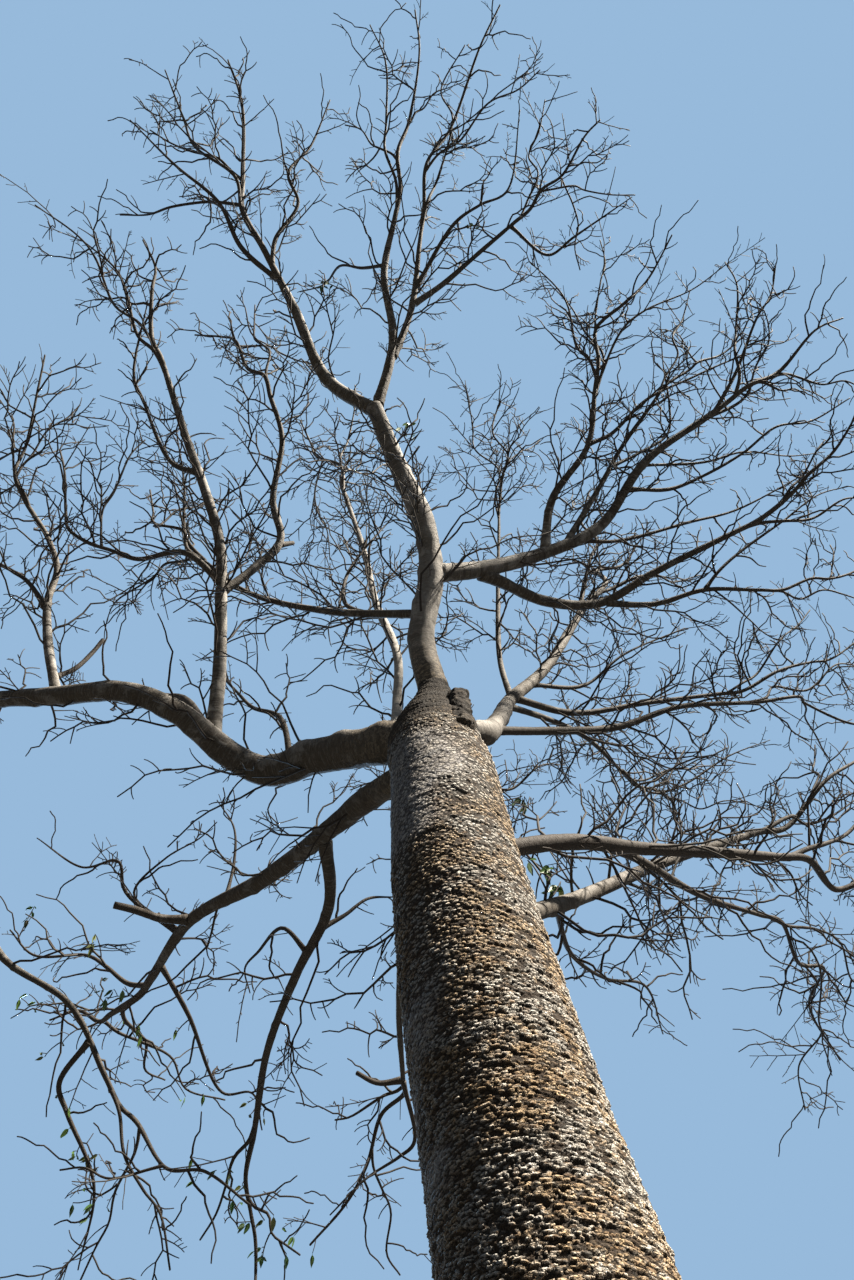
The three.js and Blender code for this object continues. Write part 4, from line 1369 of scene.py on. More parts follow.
# The knobs on a limb, how its relief fades to its end, and how its ends are closed, by its radius
KNOB_UNEVEN = 0.4
KNOB_DEPTH = 0.16
KNOB_SHARE = 0.42
SMALLEST_KNOB = 0.012
FADE_POINTS = 6
FOOT_CAP = 0.2
BLUNT_CAP = 0.15
TIP_CAP = 0.8


def with_knobs(relief, along, radii, turn, seed, spacing):
    """The relief with bell-shaped knobs added at uneven ways along the limb."""
    count = max(1, int(along[-1] / spacing))
    number = np.arange(count)
    seeds = next_seed(seed, number)
    places = along[-1] * (number + 0.5 + KNOB_UNEVEN * spread(seeds, PLACE)) / count
    sides = math.pi * spread(seeds, TURN)
    for place, side, here in zip(places, sides, np.interp(places, along, radii)):
        width = max(SMALLEST_KNOB, KNOB_SHARE * here)
        gap = (here * half_turned(turn - side)[None]) ** 2 + ((along - place) ** 2)[:, None]
        relief = relief + KNOB_DEPTH * np.exp(-gap / (2 * width ** 2))
    return relief


def limb_surface(points, radii, sides, seed, sizes, blunt=False, tone=0.0):
    """A tube round a path whose radius rises and falls: slow swellings, rings across the limb that
    run part of the way round, and a few knobs where shoots once stood."""
    steps = np.linalg.norm(np.diff(points, axis=0), axis=1)
    along = np.concatenate([[0], np.cumsum(steps)])
    heading, across, other = (part[0] for part in frames_along(points[None]))
    turn = np.arange(sides) * 2 * math.pi / sides
    straight = np.stack([radii[:, None] * np.cos(turn), radii[:, None] * np.sin(turn),
                         np.broadcast_to(along[:, None], (len(along), sides))], axis=-1)
    swell, lumps, rings, fine = (cloud(straight * np.array(fineness) + seed % shift, own_seed)
                                 for fineness, shift, own_seed in LIMB_CLOUDS)
    relief = SWELL_DEPTH * swell + LUMP_DEPTH * lumps + sizes.ring_depth * (rings + FINE_RINGS * fine)
    relief = with_knobs(relief, along, radii, turn, seed, sizes.knob_spacing)
    fade = np.minimum(1, (len(along) - 1 - np.arange(len(along))) / FADE_POINTS)[:, None]
    circle = across[:, None] * np.cos(turn)[:, None] + other[:, None] * np.sin(turn)[:, None]
    walls = points[:, None] + circle * (radii[:, None] * (1 + relief * fade))[..., None]
    foot = points[0] - heading[0] * FOOT_CAP * radii[0]
    tip = points[-1] + heading[-1] * (BLUNT_CAP if blunt else TIP_CAP) * radii[-1]
    quads, triangles = ring_faces(len(points), sides)

    # Painted light: the lit mark grows on the side that faces the key light, and on swellings and lumps
    lit = 0.5 + LIT_FACING * np.sum(circle * KEY_LIGHT_SIDE, axis=-1) + LIT_SWELL * swell + LIT_LUMPS * lumps
    lit = np.clip(lit + tone, 0, 1)
    stout = np.broadcast_to(np.clip(radii[:, None] / STOUT_RADIUS, 0, 1), lit.shape)
    # The ring mark lies in the rings' grooves, where shade is painted
    marks = np.stack([lit, np.clip(-rings, 0, 1), stout], axis=-1)
    vertices, marks, places = (
        np.concatenate([part.reshape(-1, 3), [at_foot, at_tip]])
        for part, at_foot, at_tip in ((walls, foot, tip), (marks, marks[0, 0], marks[-1, 0]),
                                      (straight, straight[0, 0], straight[-1, 0])))
    shift = [seed % count for count in PLACE_SHIFTS]
    return vertices, quads, triangles, marks, places + np.array([*shift, 0])


def leader_girth(share):
    """The leader's radius: it rises from the neck with no collar of its own."""
    return LEADER_FOOT + (0.5 * plan.limbs["leader"].thick[1] - LEADER_FOOT) * share


def bough_arrays(sizes, group):
    """Every limb, lead, lesser limb and stub of one group, each as its own relief tube."""
    surface = Surface()

    def grow(points, radii, seed, tone, blunt=False, flaky=0.0):
        """Adds one tube, with what its foot, or its tone, changes in its looks."""
        sides = int(np.clip(round(2 * math.pi * radii.max() / sizes.bark_step), *SIDES_LIMITS))
        *faces, marks, places = limb_surface(points, radii, sides, int(seed), sizes, blunt, tone)
        along = places[:, 2]
        near = flaky * smooth_step(along, sizes.flaky_foot, 0.0)
        paler = max(0.0, tone) * (1 - PALE_LOSS * smooth_step(along, *PALE_RANGE))
        darker = np.full(len(along), max(0.0, -tone))
        surface.add(*faces, bark_marks=marks, bark_place=places,
                    bark_foot=np.stack([near, paler, darker], axis=-1))

    def grow_branch(branch, start, form, tone, blunt=False):
        """Adds a lead, a lesser limb or a stub, which swells at its foot."""
        spacing, swelling = form
        count = max(FEWEST_RINGS, int(branch.length / spacing))
        share = start + (1 - start) * np.linspace(0, 1, count)
        swell = 1 + FOOT_SWELL * np.exp(-(share - start) * branch.length / swelling)
        grow(branch.course.even(share), branch.radius(share) * swell, branch.seed, tone, blunt)

    for order, limb in enumerate(plan.limbs.values()):
        if limb.group != group:
            continue
        is_leader = limb.name == "leader"
        stem, *leads = plan.spines.get(limb.name, [None])
        spacing = float(np.clip(SPACING_SHARE * limb.thick[0], *SPACING_LIMITS))
        points, radii = limb_path(limb, leader_girth if is_leader else limb.radius, stem,
                                  0.0 if is_leader else start_share(limb), spacing)
        if limb.name == "east":
            along = np.arange(len(radii)) * spacing
            radii = radii * (1 + EAST_SWELL * smooth_step(along, *EAST_SWELL_RANGE))
        tone = LIMB_TONES.get(limb.name, 0.0)
        grow(points, radii, next_seed(SEED_TREE, order + BARK_DRAWS), tone, stem is None,
             float(limb.parent is Trunk and limb.name not in SMOOTH_FEET))
        for lead in leads:
            grow_branch(lead, 0.0, LEAD_FORM, tone)
    for branch in plan.lesser + plan.stubs:
        if branch.group == group:
            grow_branch(branch, start_share(branch), LESSER_FORM, LESSER_TONE, branch in plan.stubs)
    return surface


# The old stub beside the neck: its foot and tip as sights with heights, its rings and the faces
# round it, its radius, between which shares it closes in a dome, and its lumps
STUB_FOOT = (461, 730, 8.35)
STUB_TIP = (458, 693, 9.2)
STUB_RINGS = 80
STUB_SIDES = 72
STUB_SEED = 77
STUB_RADIUS = 0.105
STUB_TAPER = 0.012
STUB_DOME = (0.86, 1.01)
DOME_FLOOR = 0.02
STUB_LUMPS = [(16, 1.0, 41), (40, 0.7, 42)]
STUB_RELIEF = 0.017

# Its looks: the painted shade between its lumps, how far its tint, gap and lichen count, and that it
# isn't worn but has the neck's colour
STUB_GAPS = (0.6, 0.7)
STUB_MARKS = np.array([0.4, 1.0, 0.3])
STUB_PLACE = [0.0, 0.9, 0.5]


def stub_arrays(sizes):
    """The lumpy old stub beside the neck: a short tube whose radius closes in a dome, with lumps."""
    foot, tip = sighted(*STUB_FOOT), sighted(*STUB_TIP)
    share = np.linspace(0, 1, STUB_RINGS)
    points = foot + (tip - foot) * share[:, None]
    dome = np.sqrt(np.maximum(1 - smooth_step(share, *STUB_DOME) ** 2, DOME_FLOOR))
    radii = (STUB_RADIUS - STUB_TAPER * share) * dome
    vertices, quads, triangles, marks, _ = limb_surface(points, radii, STUB_SIDES, STUB_SEED, sizes)
    lumps = clouds(vertices, STUB_LUMPS)
    middle = points[np.minimum(np.arange(len(vertices)) // STUB_SIDES, STUB_RINGS - 1)]
    vertices = vertices + unit(vertices - middle + NUDGE) * (STUB_RELIEF * lumps)[:, None]
    # The gap mark: painted shade, deeper where the lumps sink
    level, slope = STUB_GAPS
    marks[:, 1] = np.clip(level - slope * lumps, 0, 1)
    return vertices, quads, triangles, marks * STUB_MARKS, np.tile(STUB_PLACE, (len(vertices), 1))


# The leaves: half widths of the blade along its middle, stalk first
LEAF_STATIONS = np.array([0, 0.16, 0.24, 0.42, 0.66, 0.86, 1.0])
LEAF_WIDTHS = np.array([0.012, 0.014, 0.11, 0.2, 0.17, 0.07, 0.006])
LEAF_FOLD = 0.35
LEAF_DROOP = 0.22
LARGE_LEAF = 1.6
LARGE_FROM = 22
LEAF_UNEVEN = 0.3
FEWEST_LEAVES = 2
LEAF_TONES = 3

# How far a leaf hangs down, and how much that differs, against sideways turns of up to one
LEAF_HANG = 0.75
HANG_UNEVEN = 0.45


def leaf_arrays(foot, heading, seed, length):
    """Pointed oval blades on stalks: across each, three points folded up from the middle rib;
    along it, a line that droops with the square of the way."""
    count = len(foot)
    side = square_to(heading, 2 * math.pi * spread(seed, BEND))
    above = np.cross(heading, side)
    along = LEAF_STATIONS[None, :, None, None] * length[:, None, None, None]
    aside = LEAF_WIDTHS[None, :, None, None] * np.array([-1.0, 0, 1])[None, None, :, None]
    aside = aside * length[:, None, None, None]
    middle = foot[:, None, None] + heading[:, None, None] * along
    middle = middle - UP * (LEAF_DROOP * along * LEAF_STATIONS[None, :, None, None])
    points = middle + side[:, None, None] * aside + above[:, None, None] * np.abs(aside) * LEAF_FOLD
    rows = len(LEAF_STATIONS)
    row, column = np.meshgrid(np.arange(rows - 1), np.arange(2), indexing="ij")
    quads = np.stack([row * 3 + column, row * 3 + column + 1, (row + 1) * 3 + column + 1,
                      (row + 1) * 3 + column], axis=-1).reshape(-1, 4)
    shift = (np.arange(count) * rows * 3)[:, None, None]
    return points.reshape(-1, 3), (quads + shift).reshape(-1, 4)


def grow_leaves(ranks, sizes):
    """Sprays of leaves on the twig tips that show nearest to each leafy sight."""
    tips = np.concatenate([rank.paths[:, -1] for rank in ranks[1:3]])
    seeds = np.concatenate([rank.seed for rank in ranks[1:3]])
    seen = shown(tips)
    feet, headings, leaf_seeds, tones, scales = [], [], [], [], []
    for order, sight in enumerate(LEAFY_SIGHTS):
        gaps = np.linalg.norm(seen - np.array(sight), axis=1)
        for tip in np.argsort(gaps)[:sizes.tips_each]:
            count = FEWEST_LEAVES + int(next_seed(seeds[tip], LEAFY_DRAW) % sizes.leaves_each)
            seed = next_seed(seeds[tip], LEAF_DRAWS + np.arange(count))
            hang = HANG_UNEVEN * spread(seed, ANGLE) - LEAF_HANG
            feet.append(np.repeat(tips[tip][None], count, axis=0))
            headings.append(unit(np.stack([spread(seed, PLACE), spread(seed, TURN), hang], axis=-1)))
            leaf_seeds.append(seed)
            tones.append(np.full(count, order % LEAF_TONES))
            scales.append(np.full(count, LARGE_LEAF if order >= LARGE_FROM else 1.0))
    return tuple(np.concatenate(part) for part in (feet, headings, leaf_seeds, tones, scales))


VALUE = "NodeSocketFloat"
VECTOR = "NodeSocketVector"


class Shades:
    """The shader nodes of one tree, added by short calls. An input is a plain value, a plain colour
    or the output of another node."""

    def __init__(self, tree):
        self.tree = tree

    def feed(self, socket, value):
        """Gives a socket its input. A plain colour has no alpha of its own."""
        if isinstance(value, bpy.types.NodeSocket):
            self.tree.links.new(value, socket)
        elif socket.type == "RGBA":
            socket.default_value = (*value, 1.0)
        else:
            socket.default_value = value

    def node(self, kind, settings=None, **inputs):
        """Any node, with its settings, and with inputs by their names."""
        made = self.tree.nodes.new(kind)
        for name, value in (settings or {}).items():
            setattr(made, name, value)
        for name, value in inputs.items():
            self.feed(made.inputs[name], value)
        return made

    def ordered(self, kind, settings, *inputs):
        """The first output of a node whose inputs are given in their order."""
        made = self.node(kind, settings)
        for socket, value in zip(made.inputs, inputs):
            self.feed(socket, value)
        return made.outputs[0]

    def calculate(self, way, first, second):
        """One step of arithmetic on values."""
        return self.ordered("ShaderNodeMath", {"operation": way}, first, second)

    def times(self, first, second):
        """The product of two values."""
        return self.calculate("MULTIPLY", first, second)

    def plus(self, first, second):
        """The sum of two values."""
        return self.calculate("ADD", first, second)

    def most(self, first, second):
        """The larger of two values."""
        return self.calculate("MAXIMUM", first, second)

    def ramp(self, value, low, high, to_low=0.0, to_high=1.0):
        """A value from low to high, brought by a smooth step to run between two others."""
        return self.ordered("ShaderNodeMapRange", {"interpolation_type": "SMOOTHSTEP"},
                            value, low, high, to_low, to_high)

    def mix(self, factor, first, second, way="MIX"):
        """Mixes two colours."""
        made = self.node("ShaderNodeMix", {"data_type": "RGBA", "blend_type": way})
        for number, value in ((0, factor), (6, first), (7, second)):
            self.feed(made.inputs[number], value)
        return made.outputs[2]

    def noise(self, place, scale, **inputs):
        """The outputs of a noise texture."""
        return self.node("ShaderNodeTexNoise", Vector=place, Scale=scale, **inputs).outputs

    def parts(self, vector):
        """The three numbers of a vector."""
        return self.node("ShaderNodeSeparateXYZ", Vector=vector).outputs

    def own_place(self):
        """Places in the piece's own frame."""
        return self.node("ShaderNodeTexCoord").outputs["Object"]

    def marks(self, name):
        """The three marks that a mesh carries at each vertex."""
        return self.parts(self.node("ShaderNodeAttribute", {"attribute_name": name}).outputs["Vector"])

    def stretched(self, place, along):
        """Places that run faster along Z, so that what follows them lies across."""
        return self.node("ShaderNodeMapping", {"vector_type": "POINT"}, Vector=place,
                         Scale=(1.0, 1.0, along)).outputs["Vector"]

    def darken(self, colour, value, low):
        """The colour, times a value that is stretched to run from low to 1."""
        worn = self.ramp(value, 0.3, 0.7, low, 1.0)
        grey = self.node("ShaderNodeCombineXYZ", X=worn, Y=worn, Z=worn)
        return self.mix(1.0, colour, grey.outputs["Vector"], "MULTIPLY")

    def group(self, name, **inputs):
        """The outputs of one of the shader groups below, which is built on its first use."""
        if name not in bpy.data.node_groups:
            build_group(name)
        made = self.node("ShaderNodeGroup", {"node_tree": bpy.data.node_groups[name]}, **inputs)
        return made.outputs

    def patches(self, place, size, level):
        """The mask of the pale patches' group."""
        return self.group("pale_patches", Place=place, Size=size, Level=level)["Mask"]


def fill_grain(shades, given, result):
    """Fine bark grain: two sizes of noise, given as a value and as a bumped normal."""
    coarse = shades.noise(given["Place"], given["Fineness"], Detail=6.0, Roughness=0.62)["Fac"]
    fine = shades.noise(given["Place"], shades.times(given["Fineness"], 3.3), Detail=3.0)["Fac"]
    both = shades.plus(shades.times(coarse, 0.7), shades.times(fine, 0.3))
    bump = shades.node("ShaderNodeBump", Height=both, Distance=given["Depth"], Strength=1.0)
    shades.feed(result["Grain"], both)
    shades.feed(result["Normal"], bump.outputs["Normal"])


def fill_patches(shades, given, result):
    """Blotches with crumbled edges: noise, cut at a level that sets how much they cover."""
    blotch = shades.noise(given["Place"], given["Size"], Detail=7.0, Roughness=0.66, Distortion=0.4)
    over = shades.calculate("SUBTRACT", blotch["Fac"], given["Level"])
    shades.feed(result["Mask"], shades.ramp(over, -0.05, 0.08))


def fill_chips(shades, given, result):
    """Flat chips between fine cracks: warped cells, squeezed along Z. It gives each chip's own
    value, the cracks as a mask for painted shade, and a bumped normal that adds to the one it is given."""
    warp = shades.node("ShaderNodeVectorMath", {"operation": "SCALE"}, Scale=0.05,
                       Vector=shades.noise(given["Place"], 24.0, Detail=2.0)["Color"])
    moved = shades.ordered("ShaderNodeVectorMath", {"operation": "ADD"}, given["Place"], warp.outputs[0])
    flat = shades.ordered("ShaderNodeVectorMath", {"operation": "MULTIPLY"}, moved, given["Squeeze"])
    edge = shades.node("ShaderNodeTexVoronoi", {"feature": "DISTANCE_TO_EDGE"},
                       Vector=flat, Scale=given["Scale"]).outputs["Distance"]
    cell = shades.node("ShaderNodeTexVoronoi", Vector=flat, Scale=given["Scale"])
    chip = shades.parts(cell.outputs["Color"])["X"]
    height = shades.times(shades.ramp(edge, 0.0, 0.25), shades.ramp(chip, 0.0, 1.0, 0.4, 1.0))
    bump = shades.node("ShaderNodeBump", Height=height, Distance=given["Depth"], Strength=1.0,
                       Normal=given["Normal"])
    shades.feed(result["Chip"], chip)
    shades.feed(result["Crack"], shades.ramp(edge, 0.0, 0.11, 1.0, 0.0))
    shades.feed(result["Normal"], bump.outputs["Normal"])


# The shader groups: what fills each, its inputs with their defaults, and its outputs
SHADER_GROUPS = {
    "fine_grain": (fill_grain,
                   [("Place", VECTOR, None), ("Fineness", VALUE, 60.0), ("Depth", VALUE, 0.004)],
                   [("Grain", VALUE), ("Normal", VECTOR)]),
    "pale_patches": (fill_patches,
                     [("Place", VECTOR, None), ("Size", VALUE, 6.0), ("Level", VALUE, 0.55)],
                     [("Mask", VALUE)]),
    "bark_chips": (fill_chips,
                   [("Place", VECTOR, None), ("Scale", VALUE, 50.0), ("Squeeze", VECTOR, (1.0, 1.0, 2.6)),
                    ("Depth", VALUE, 0.004), ("Normal", VECTOR, None)],
                   [("Chip", VALUE), ("Crack", VALUE), ("Normal", VECTOR)]),
}


def build_group(name):
    """Builds one shader group: its sockets, its two end nodes and what fills it."""
    fill, inputs, outputs = SHADER_GROUPS[name]
    group = bpy.data.node_groups.new(name, "ShaderNodeTree")
    for socket_name, kind, default in inputs:
        socket = group.interface.new_socket(name=socket_name, in_out="INPUT", socket_type=kind)
        if default is not None:
            socket.default_value = default
    for socket_name, kind in outputs:
        group.interface.new_socket(name=socket_name, in_out="OUTPUT", socket_type=kind)
    start = group.nodes.new("NodeGroupInput")
    end = group.nodes.new("NodeGroupOutput")
    fill(Shades(group), start.outputs, end.inputs)


def new_material(name, roughness, specular):
    """A material with a Principled shader and plain gloss values: the material, its nodes and the
    shader's inputs."""
    material = bpy.data.materials.new(name)
    material.use_nodes = True
    surface = material.node_tree.nodes["Principled BSDF"].inputs
    surface["Roughness"].default_value = roughness
    surface["Specular IOR Level"].default_value = specular
    return material, Shades(material.node_tree), surface


def trunk_bark_material(colours):
    """Flaky bark: ochre, brown and cream flakes by their tint, cracked into finer chips, with painted
    shade in the gaps and cracks. The worn side is smooth and grey, and the neck takes on the boughs' grey
    brown."""
    material, shades, surface = new_material("trunk_bark", 0.88, 0.25)
    place = shades.own_place()
    tint, gap, lichen = shades.marks("bark_marks")
    worn, neck, _ = shades.marks("bark_place")
    grain = shades.group("fine_grain", Place=place, Fineness=55.0, Depth=0.004)
    chips = shades.group("bark_chips", Place=place, Scale=46.0, Squeeze=(1.0, 1.0, 2.4), Depth=0.005,
                         Normal=grain["Normal"])
    broad = shades.patches(place, 3.2, 0.5)
    specks = shades.patches(place, 26.0, 0.5)
    streaks = shades.patches(shades.stretched(place, 3.4), 9.0, 0.56)

    # Flakes and chips vary from brown to ochre, or to grey in broad patches
    both = shades.plus(shades.times(tint, 0.6), shades.times(chips["Chip"], 0.4))
    warm = shades.mix(shades.ramp(both, 0.2, 0.75), colours.flake_brown, colours.flake_ochre)
    cool = shades.mix(shades.ramp(both, 0.15, 0.8), colours.flake_brown, colours.flake_grey)
    flake = shades.mix(broad, warm, cool)

    # Cream: lichen in specks, streaks across, and flakes that bleach more the higher they are
    rise = shades.parts(place)["Z"]
    bleached = shades.times(shades.ramp(rise, 4.6, 6.6, 0.5, 0.8), shades.ramp(both, 0.3, 0.55))
    bleached = shades.times(bleached, shades.ramp(broad, 0.0, 1.0, 0.4, 1.0))
    cream = shades.times(lichen, shades.ramp(specks, 0.0, 1.0, 0.3, 1.0))
    cream = shades.most(shades.most(cream, shades.times(streaks, 0.7)), bleached)
    flake = shades.mix(shades.times(cream, 0.95), flake, colours.lichen_pale)

    # The worn side and the neck cover the flakes, and painted shade in the gaps and cracks covers
    # everything
    smooth = shades.mix(specks, colours.worn_grey, colours.flake_grey)
    flake = shades.mix(shades.times(worn, 0.85), flake, smooth)
    flake = shades.mix(shades.times(neck, 0.92), flake, colours.neck_brown)
    flake = shades.darken(flake, grain["Grain"], 0.75)
    cracks = shades.times(chips["Crack"], shades.ramp(worn, 0.0, 1.0, 0.8, 0.25))
    dark = shades.most(cracks, shades.ramp(gap, 0.08, 0.62))
    shades.feed(surface["Base Color"], shades.mix(shades.times(dark, 0.92), flake, colours.gap_shade))
    shades.feed(surface["Roughness"], shades.ramp(grain["Grain"], 0.2, 0.8, 0.78, 0.96))
    shades.feed(surface["Normal"], chips["Normal"])
    return material


def bough_bark_material(colours):
    """Smooth grey-brown bark: fine wrinkles across the limb in its own straight places, pale
    blotches, and painted shade in the dark rings. The side that faces the key light is painted grey
    and pale, the side in shade brown. Slim boughs are darker."""
    material, shades, surface = new_material("bough_bark", 0.72, 0.3)
    place = shades.node("ShaderNodeAttribute", {"attribute_name": "bark_place"}).outputs["Vector"]
    lit, ring, stout = shades.marks("bark_marks")
    near, paler, darker = shades.marks("bark_foot")
    across = shades.stretched(place, 8.0)
    grain = shades.group("fine_grain", Place=across, Fineness=16.0, Depth=0.004)
    slits = shades.group("bark_chips", Place=place, Scale=17.0, Squeeze=(1.0, 1.0, 5.0), Depth=0.002,
                         Normal=grain["Normal"])
    patches = shades.patches(place, 5.5, 0.56)
    specks = shades.patches(across, 9.0, 0.55)

    # Painted light: brown on the side in shade, grey on the lit side, and painted sunlight paler still
    # where it faces the key light. Pale by patches and specks, dark where slim, painted shade in its rings
    bark = shades.mix(shades.ramp(lit, 0.2, 0.85), colours.bough_brown, colours.bough_grey)
    pale = shades.most(shades.times(patches, 0.6), shades.times(specks, 0.35))
    painted_sunlight = shades.times(shades.ramp(lit, 0.5, 0.85), shades.ramp(grain["Grain"], 0.35, 0.6))
    bark = shades.mix(shades.most(pale, painted_sunlight), bark, colours.bough_pale)
    bark = shades.mix(shades.ramp(stout, 0.1, 0.5), colours.bough_slim, bark)
    bark = shades.mix(shades.ramp(ring, 0.1, 0.7, 0.0, 0.75), bark, colours.bough_ring_shade)
    bark = shades.mix(shades.times(slits["Crack"], 0.3), bark, colours.bough_ring_shade)
    bark = shades.mix(paler, bark, colours.bough_pale)
    bark = shades.mix(darker, bark, colours.bough_slim)

    # The trunk's scales run out on the boughs' feet, with painted shade in their cracks
    scales = shades.group("bark_chips", Place=place, Scale=26.0, Squeeze=(1.0, 1.0, 2.2), Depth=0.008,
                          Normal=slits["Normal"])
    scaly = shades.mix(shades.ramp(scales["Chip"], 0.2, 0.8), colours.bough_brown, colours.bough_flake)
    scaly = shades.mix(shades.times(scales["Crack"], 0.9), scaly, colours.bough_ring_shade)
    bark = shades.darken(shades.mix(near, bark, scaly), grain["Grain"], 0.6)
    shades.feed(surface["Base Color"], bark)
    shades.feed(surface["Roughness"], shades.ramp(grain["Grain"], 0.2, 0.8, 0.62, 0.86))
    shades.feed(surface["Normal"], slits["Normal"])
    return material


def grained_material(name, colour, gloss, grain, dark_share):
    """One plain colour with a little fine grain, which darkens it down to a share of itself."""
    material, shades, surface = new_material(name, *gloss)
    fineness, depth = grain
    grain = shades.group("fine_grain", Place=shades.own_place(), Fineness=fineness, Depth=depth)
    shade = [dark_share * part for part in colour]
    shades.feed(surface["Base Color"], shades.mix(grain["Grain"], shade, colour))
    return material, shades, surface, grain


def twig_material(name, colour):
    """One tone of twig bark, with the grain as relief too."""
    material, shades, surface, grain = grained_material(name, colour, (0.75, 0.25), (120.0, 0.001), 0.72)
    shades.feed(surface["Normal"], grain["Normal"])
    return material


def leaf_material(name, colour):
    """One tone of leaf: a plain green, a little glossy, with faint mottling."""
    return grained_material(name, colour, (0.42, 0.45), (90.0, 0.0006), 0.8)[0]


def plain_material(name, colour, roughness):
    """One plain colour."""
    material, shades, surface = new_material(name, roughness, 0.3)
    shades.feed(surface["Base Color"], colour)
    return material


def colour_property(name, default, description):
    return bpy.props.FloatVectorProperty(name=name, description=description, subtype="COLOR", size=3,
                                         min=0.0, max=1.0, default=default)


def length_property(name, default, description):
    return bpy.props.FloatProperty(name=name, description=description, unit="LENGTH", subtype="DISTANCE",
                                   min=0.0, default=default)


def amount_property(name, default, description):
    return bpy.props.FloatProperty(name=name, description=description, min=0.0, default=default)


def count_property(name, default, description):
    return bpy.props.IntProperty(name=name, description=description, min=1, default=default)


def share_property(name, default, description):
    return bpy.props.FloatProperty(name=name, description=description, subtype="FACTOR",
                                   min=0.0, max=1.0, default=default)


class TrunkBarkSettings(bpy.types.PropertyGroup):
    """Sizes and colours of the trunk's flaky bark."""

    flake_width: length_property("Flake width", 0.048, "Width of one bark flake")
    flake_height: length_property("Flake height", 0.0135, "Way from one row of flakes to the next")
    top_flake_height: length_property("Top flake height", 0.028, "The same, under the neck")
    flake_lift: length_property("Flake lift", 0.013, "How far a flake's lower edge stands out")
    slab_lift: length_property("Slab lift", 0.013, "Thickness of the larger slabs of bark")
    ring_depth: share_property("Ring depth", 0.07, "Depth of the rings on the old stub")
    knob_spacing: length_property("Knob spacing", 0.2, "Way between two knobs on the old stub")
    flake_brown: colour_property("Brown", (0.26, 0.17, 0.1), "Dull brown flakes")
    flake_ochre: colour_property("Ochre", (0.68, 0.45, 0.21), "Fresh warm flakes")
    flake_grey: colour_property("Grey", (0.74, 0.7, 0.64), "Weathered flakes")
    worn_grey: colour_property("Worn side", (0.34, 0.34, 0.36), "The smooth worn side")
    neck_brown: colour_property("Neck", (0.04, 0.036, 0.032), "The wrinkled neck")
    lichen_pale: colour_property("Lichen", (0.95, 0.92, 0.84), "Pale lichen")
    # Painted shade in the gaps and cracks
    gap_shade: colour_property("Gaps", (0.012, 0.009, 0.007), "The dark between flakes")


class BoughBarkSettings(bpy.types.PropertyGroup):
    """Sizes and colours of the boughs' bark."""

    bark_step: length_property("Bark step", 0.019, "Width of one face round a bough")
    ring_depth: share_property("Ring depth", 0.024, "Depth of the rings across a bough, by its radius")
    knob_spacing: length_property("Knob spacing", 0.42, "Way between two knobs where shoots once stood")
    # Grey is painted on the lit side and brown on the side in shade. Pale is for blotches, and also painted
    # sunlight on the lit side
    bough_grey: colour_property("Grey", (0.34, 0.32, 0.29), "Smooth grey bark")
    bough_brown: colour_property("Brown", (0.12, 0.10, 0.075), "Dull brown bark")
    bough_pale: colour_property("Pale", (0.72, 0.68, 0.62), "Pale blotches")
    flaky_foot: length_property("Flaky foot", 1.0, "How far the trunk's flaky bark runs out on a bough")
    bough_flake: colour_property("Flakes", (0.36, 0.30, 0.22), "Flakes at a bough's foot")
    # Painted shade in the rings' grooves and in the cracks
    bough_ring_shade: colour_property("Rings", (0.06, 0.048, 0.036), "Dark rings")
    bough_slim: colour_property("Slim boughs", (0.06, 0.049, 0.04), "Bark where a bough is slim")


class TwigSettings(bpy.types.PropertyGroup):
    """Spacing, reach and colours of the twigs."""

    twig_spacing: length_property("Twig spacing", 0.42, "Way between two twigs on a stem")
    shoot_spacing: length_property("Shoot spacing", 0.42, "Way between two side shoots on a stem")
    shoot_reach: length_property("Shoot reach", 0.9, "Length of the longest side shoots")
    spur_spacing: length_property("Spur spacing", 0.26, "Way between two spurs on a stem")
    spur_reach: length_property("Spur reach", 0.3, "Length of the longest spurs")
    limb_twig_spacing: length_property("Limb twig spacing", 0.3, "Way between two long twigs on a bough")
    limb_twig_stretch: amount_property("Limb twig stretch", 1.35, "How much longer twigs on boughs are")
    limb_shoot_spacing: length_property("Limb shoot spacing", 0.5, "Way between shoots on a bough")
    limb_spur_spacing: length_property("Limb spur spacing", 0.5, "Way between spurs on a bough")
    second_chance: share_property("Second chance", 0.62, "Chance of a side twig at a twig's corner")
    second_reach: length_property("Second reach", 0.9, "Length of the longest side twigs")
    third_chance: share_property("Third chance", 0.85, "Chance of a spur at a side twig's corner")
    third_reach: length_property("Third reach", 0.36, "Length of the longest spurs on twigs")
    fourth_chance: share_property("Fourth chance", 0.5, "Chance of a tip at a spur's corner")
    fourth_reach: length_property("Fourth reach", 0.16, "Length of the longest tips")
    corner_share: share_property("Corners", 0.024, "How far a twig's corners stand aside, by its length")
    arc_share: share_property("Arc", 0.1, "How far a twig bows aside, by its length")
    tone_dark: colour_property("Dark twigs", (0.032, 0.027, 0.024), "The darkest sprays")
    tone_brown: colour_property("Brown twigs", (0.05, 0.039, 0.031), "Warm brown sprays")
    tone_grey: colour_property("Grey twigs", (0.075, 0.066, 0.057), "Weathered sprays")


class LeafSettings(bpy.types.PropertyGroup):
    """Size, number and colours of the last leaves."""

    leaf_length: length_property("Leaf length", 0.088, "Length of a leaf with its stalk")
    tips_each: count_property("Tips", 5, "Leafy twig tips at each place")
    leaves_each: count_property("Leaves", 3, "How many numbers of leaves a tip may have, from two up")
    leaf_fresh: colour_property("Fresh", (0.13, 0.24, 0.045), "Fresh green leaves")
    leaf_deep: colour_property("Deep", (0.06, 0.13, 0.03), "Deep green leaves")
    leaf_olive: colour_property("Olive", (0.16, 0.19, 0.05), "Olive leaves")


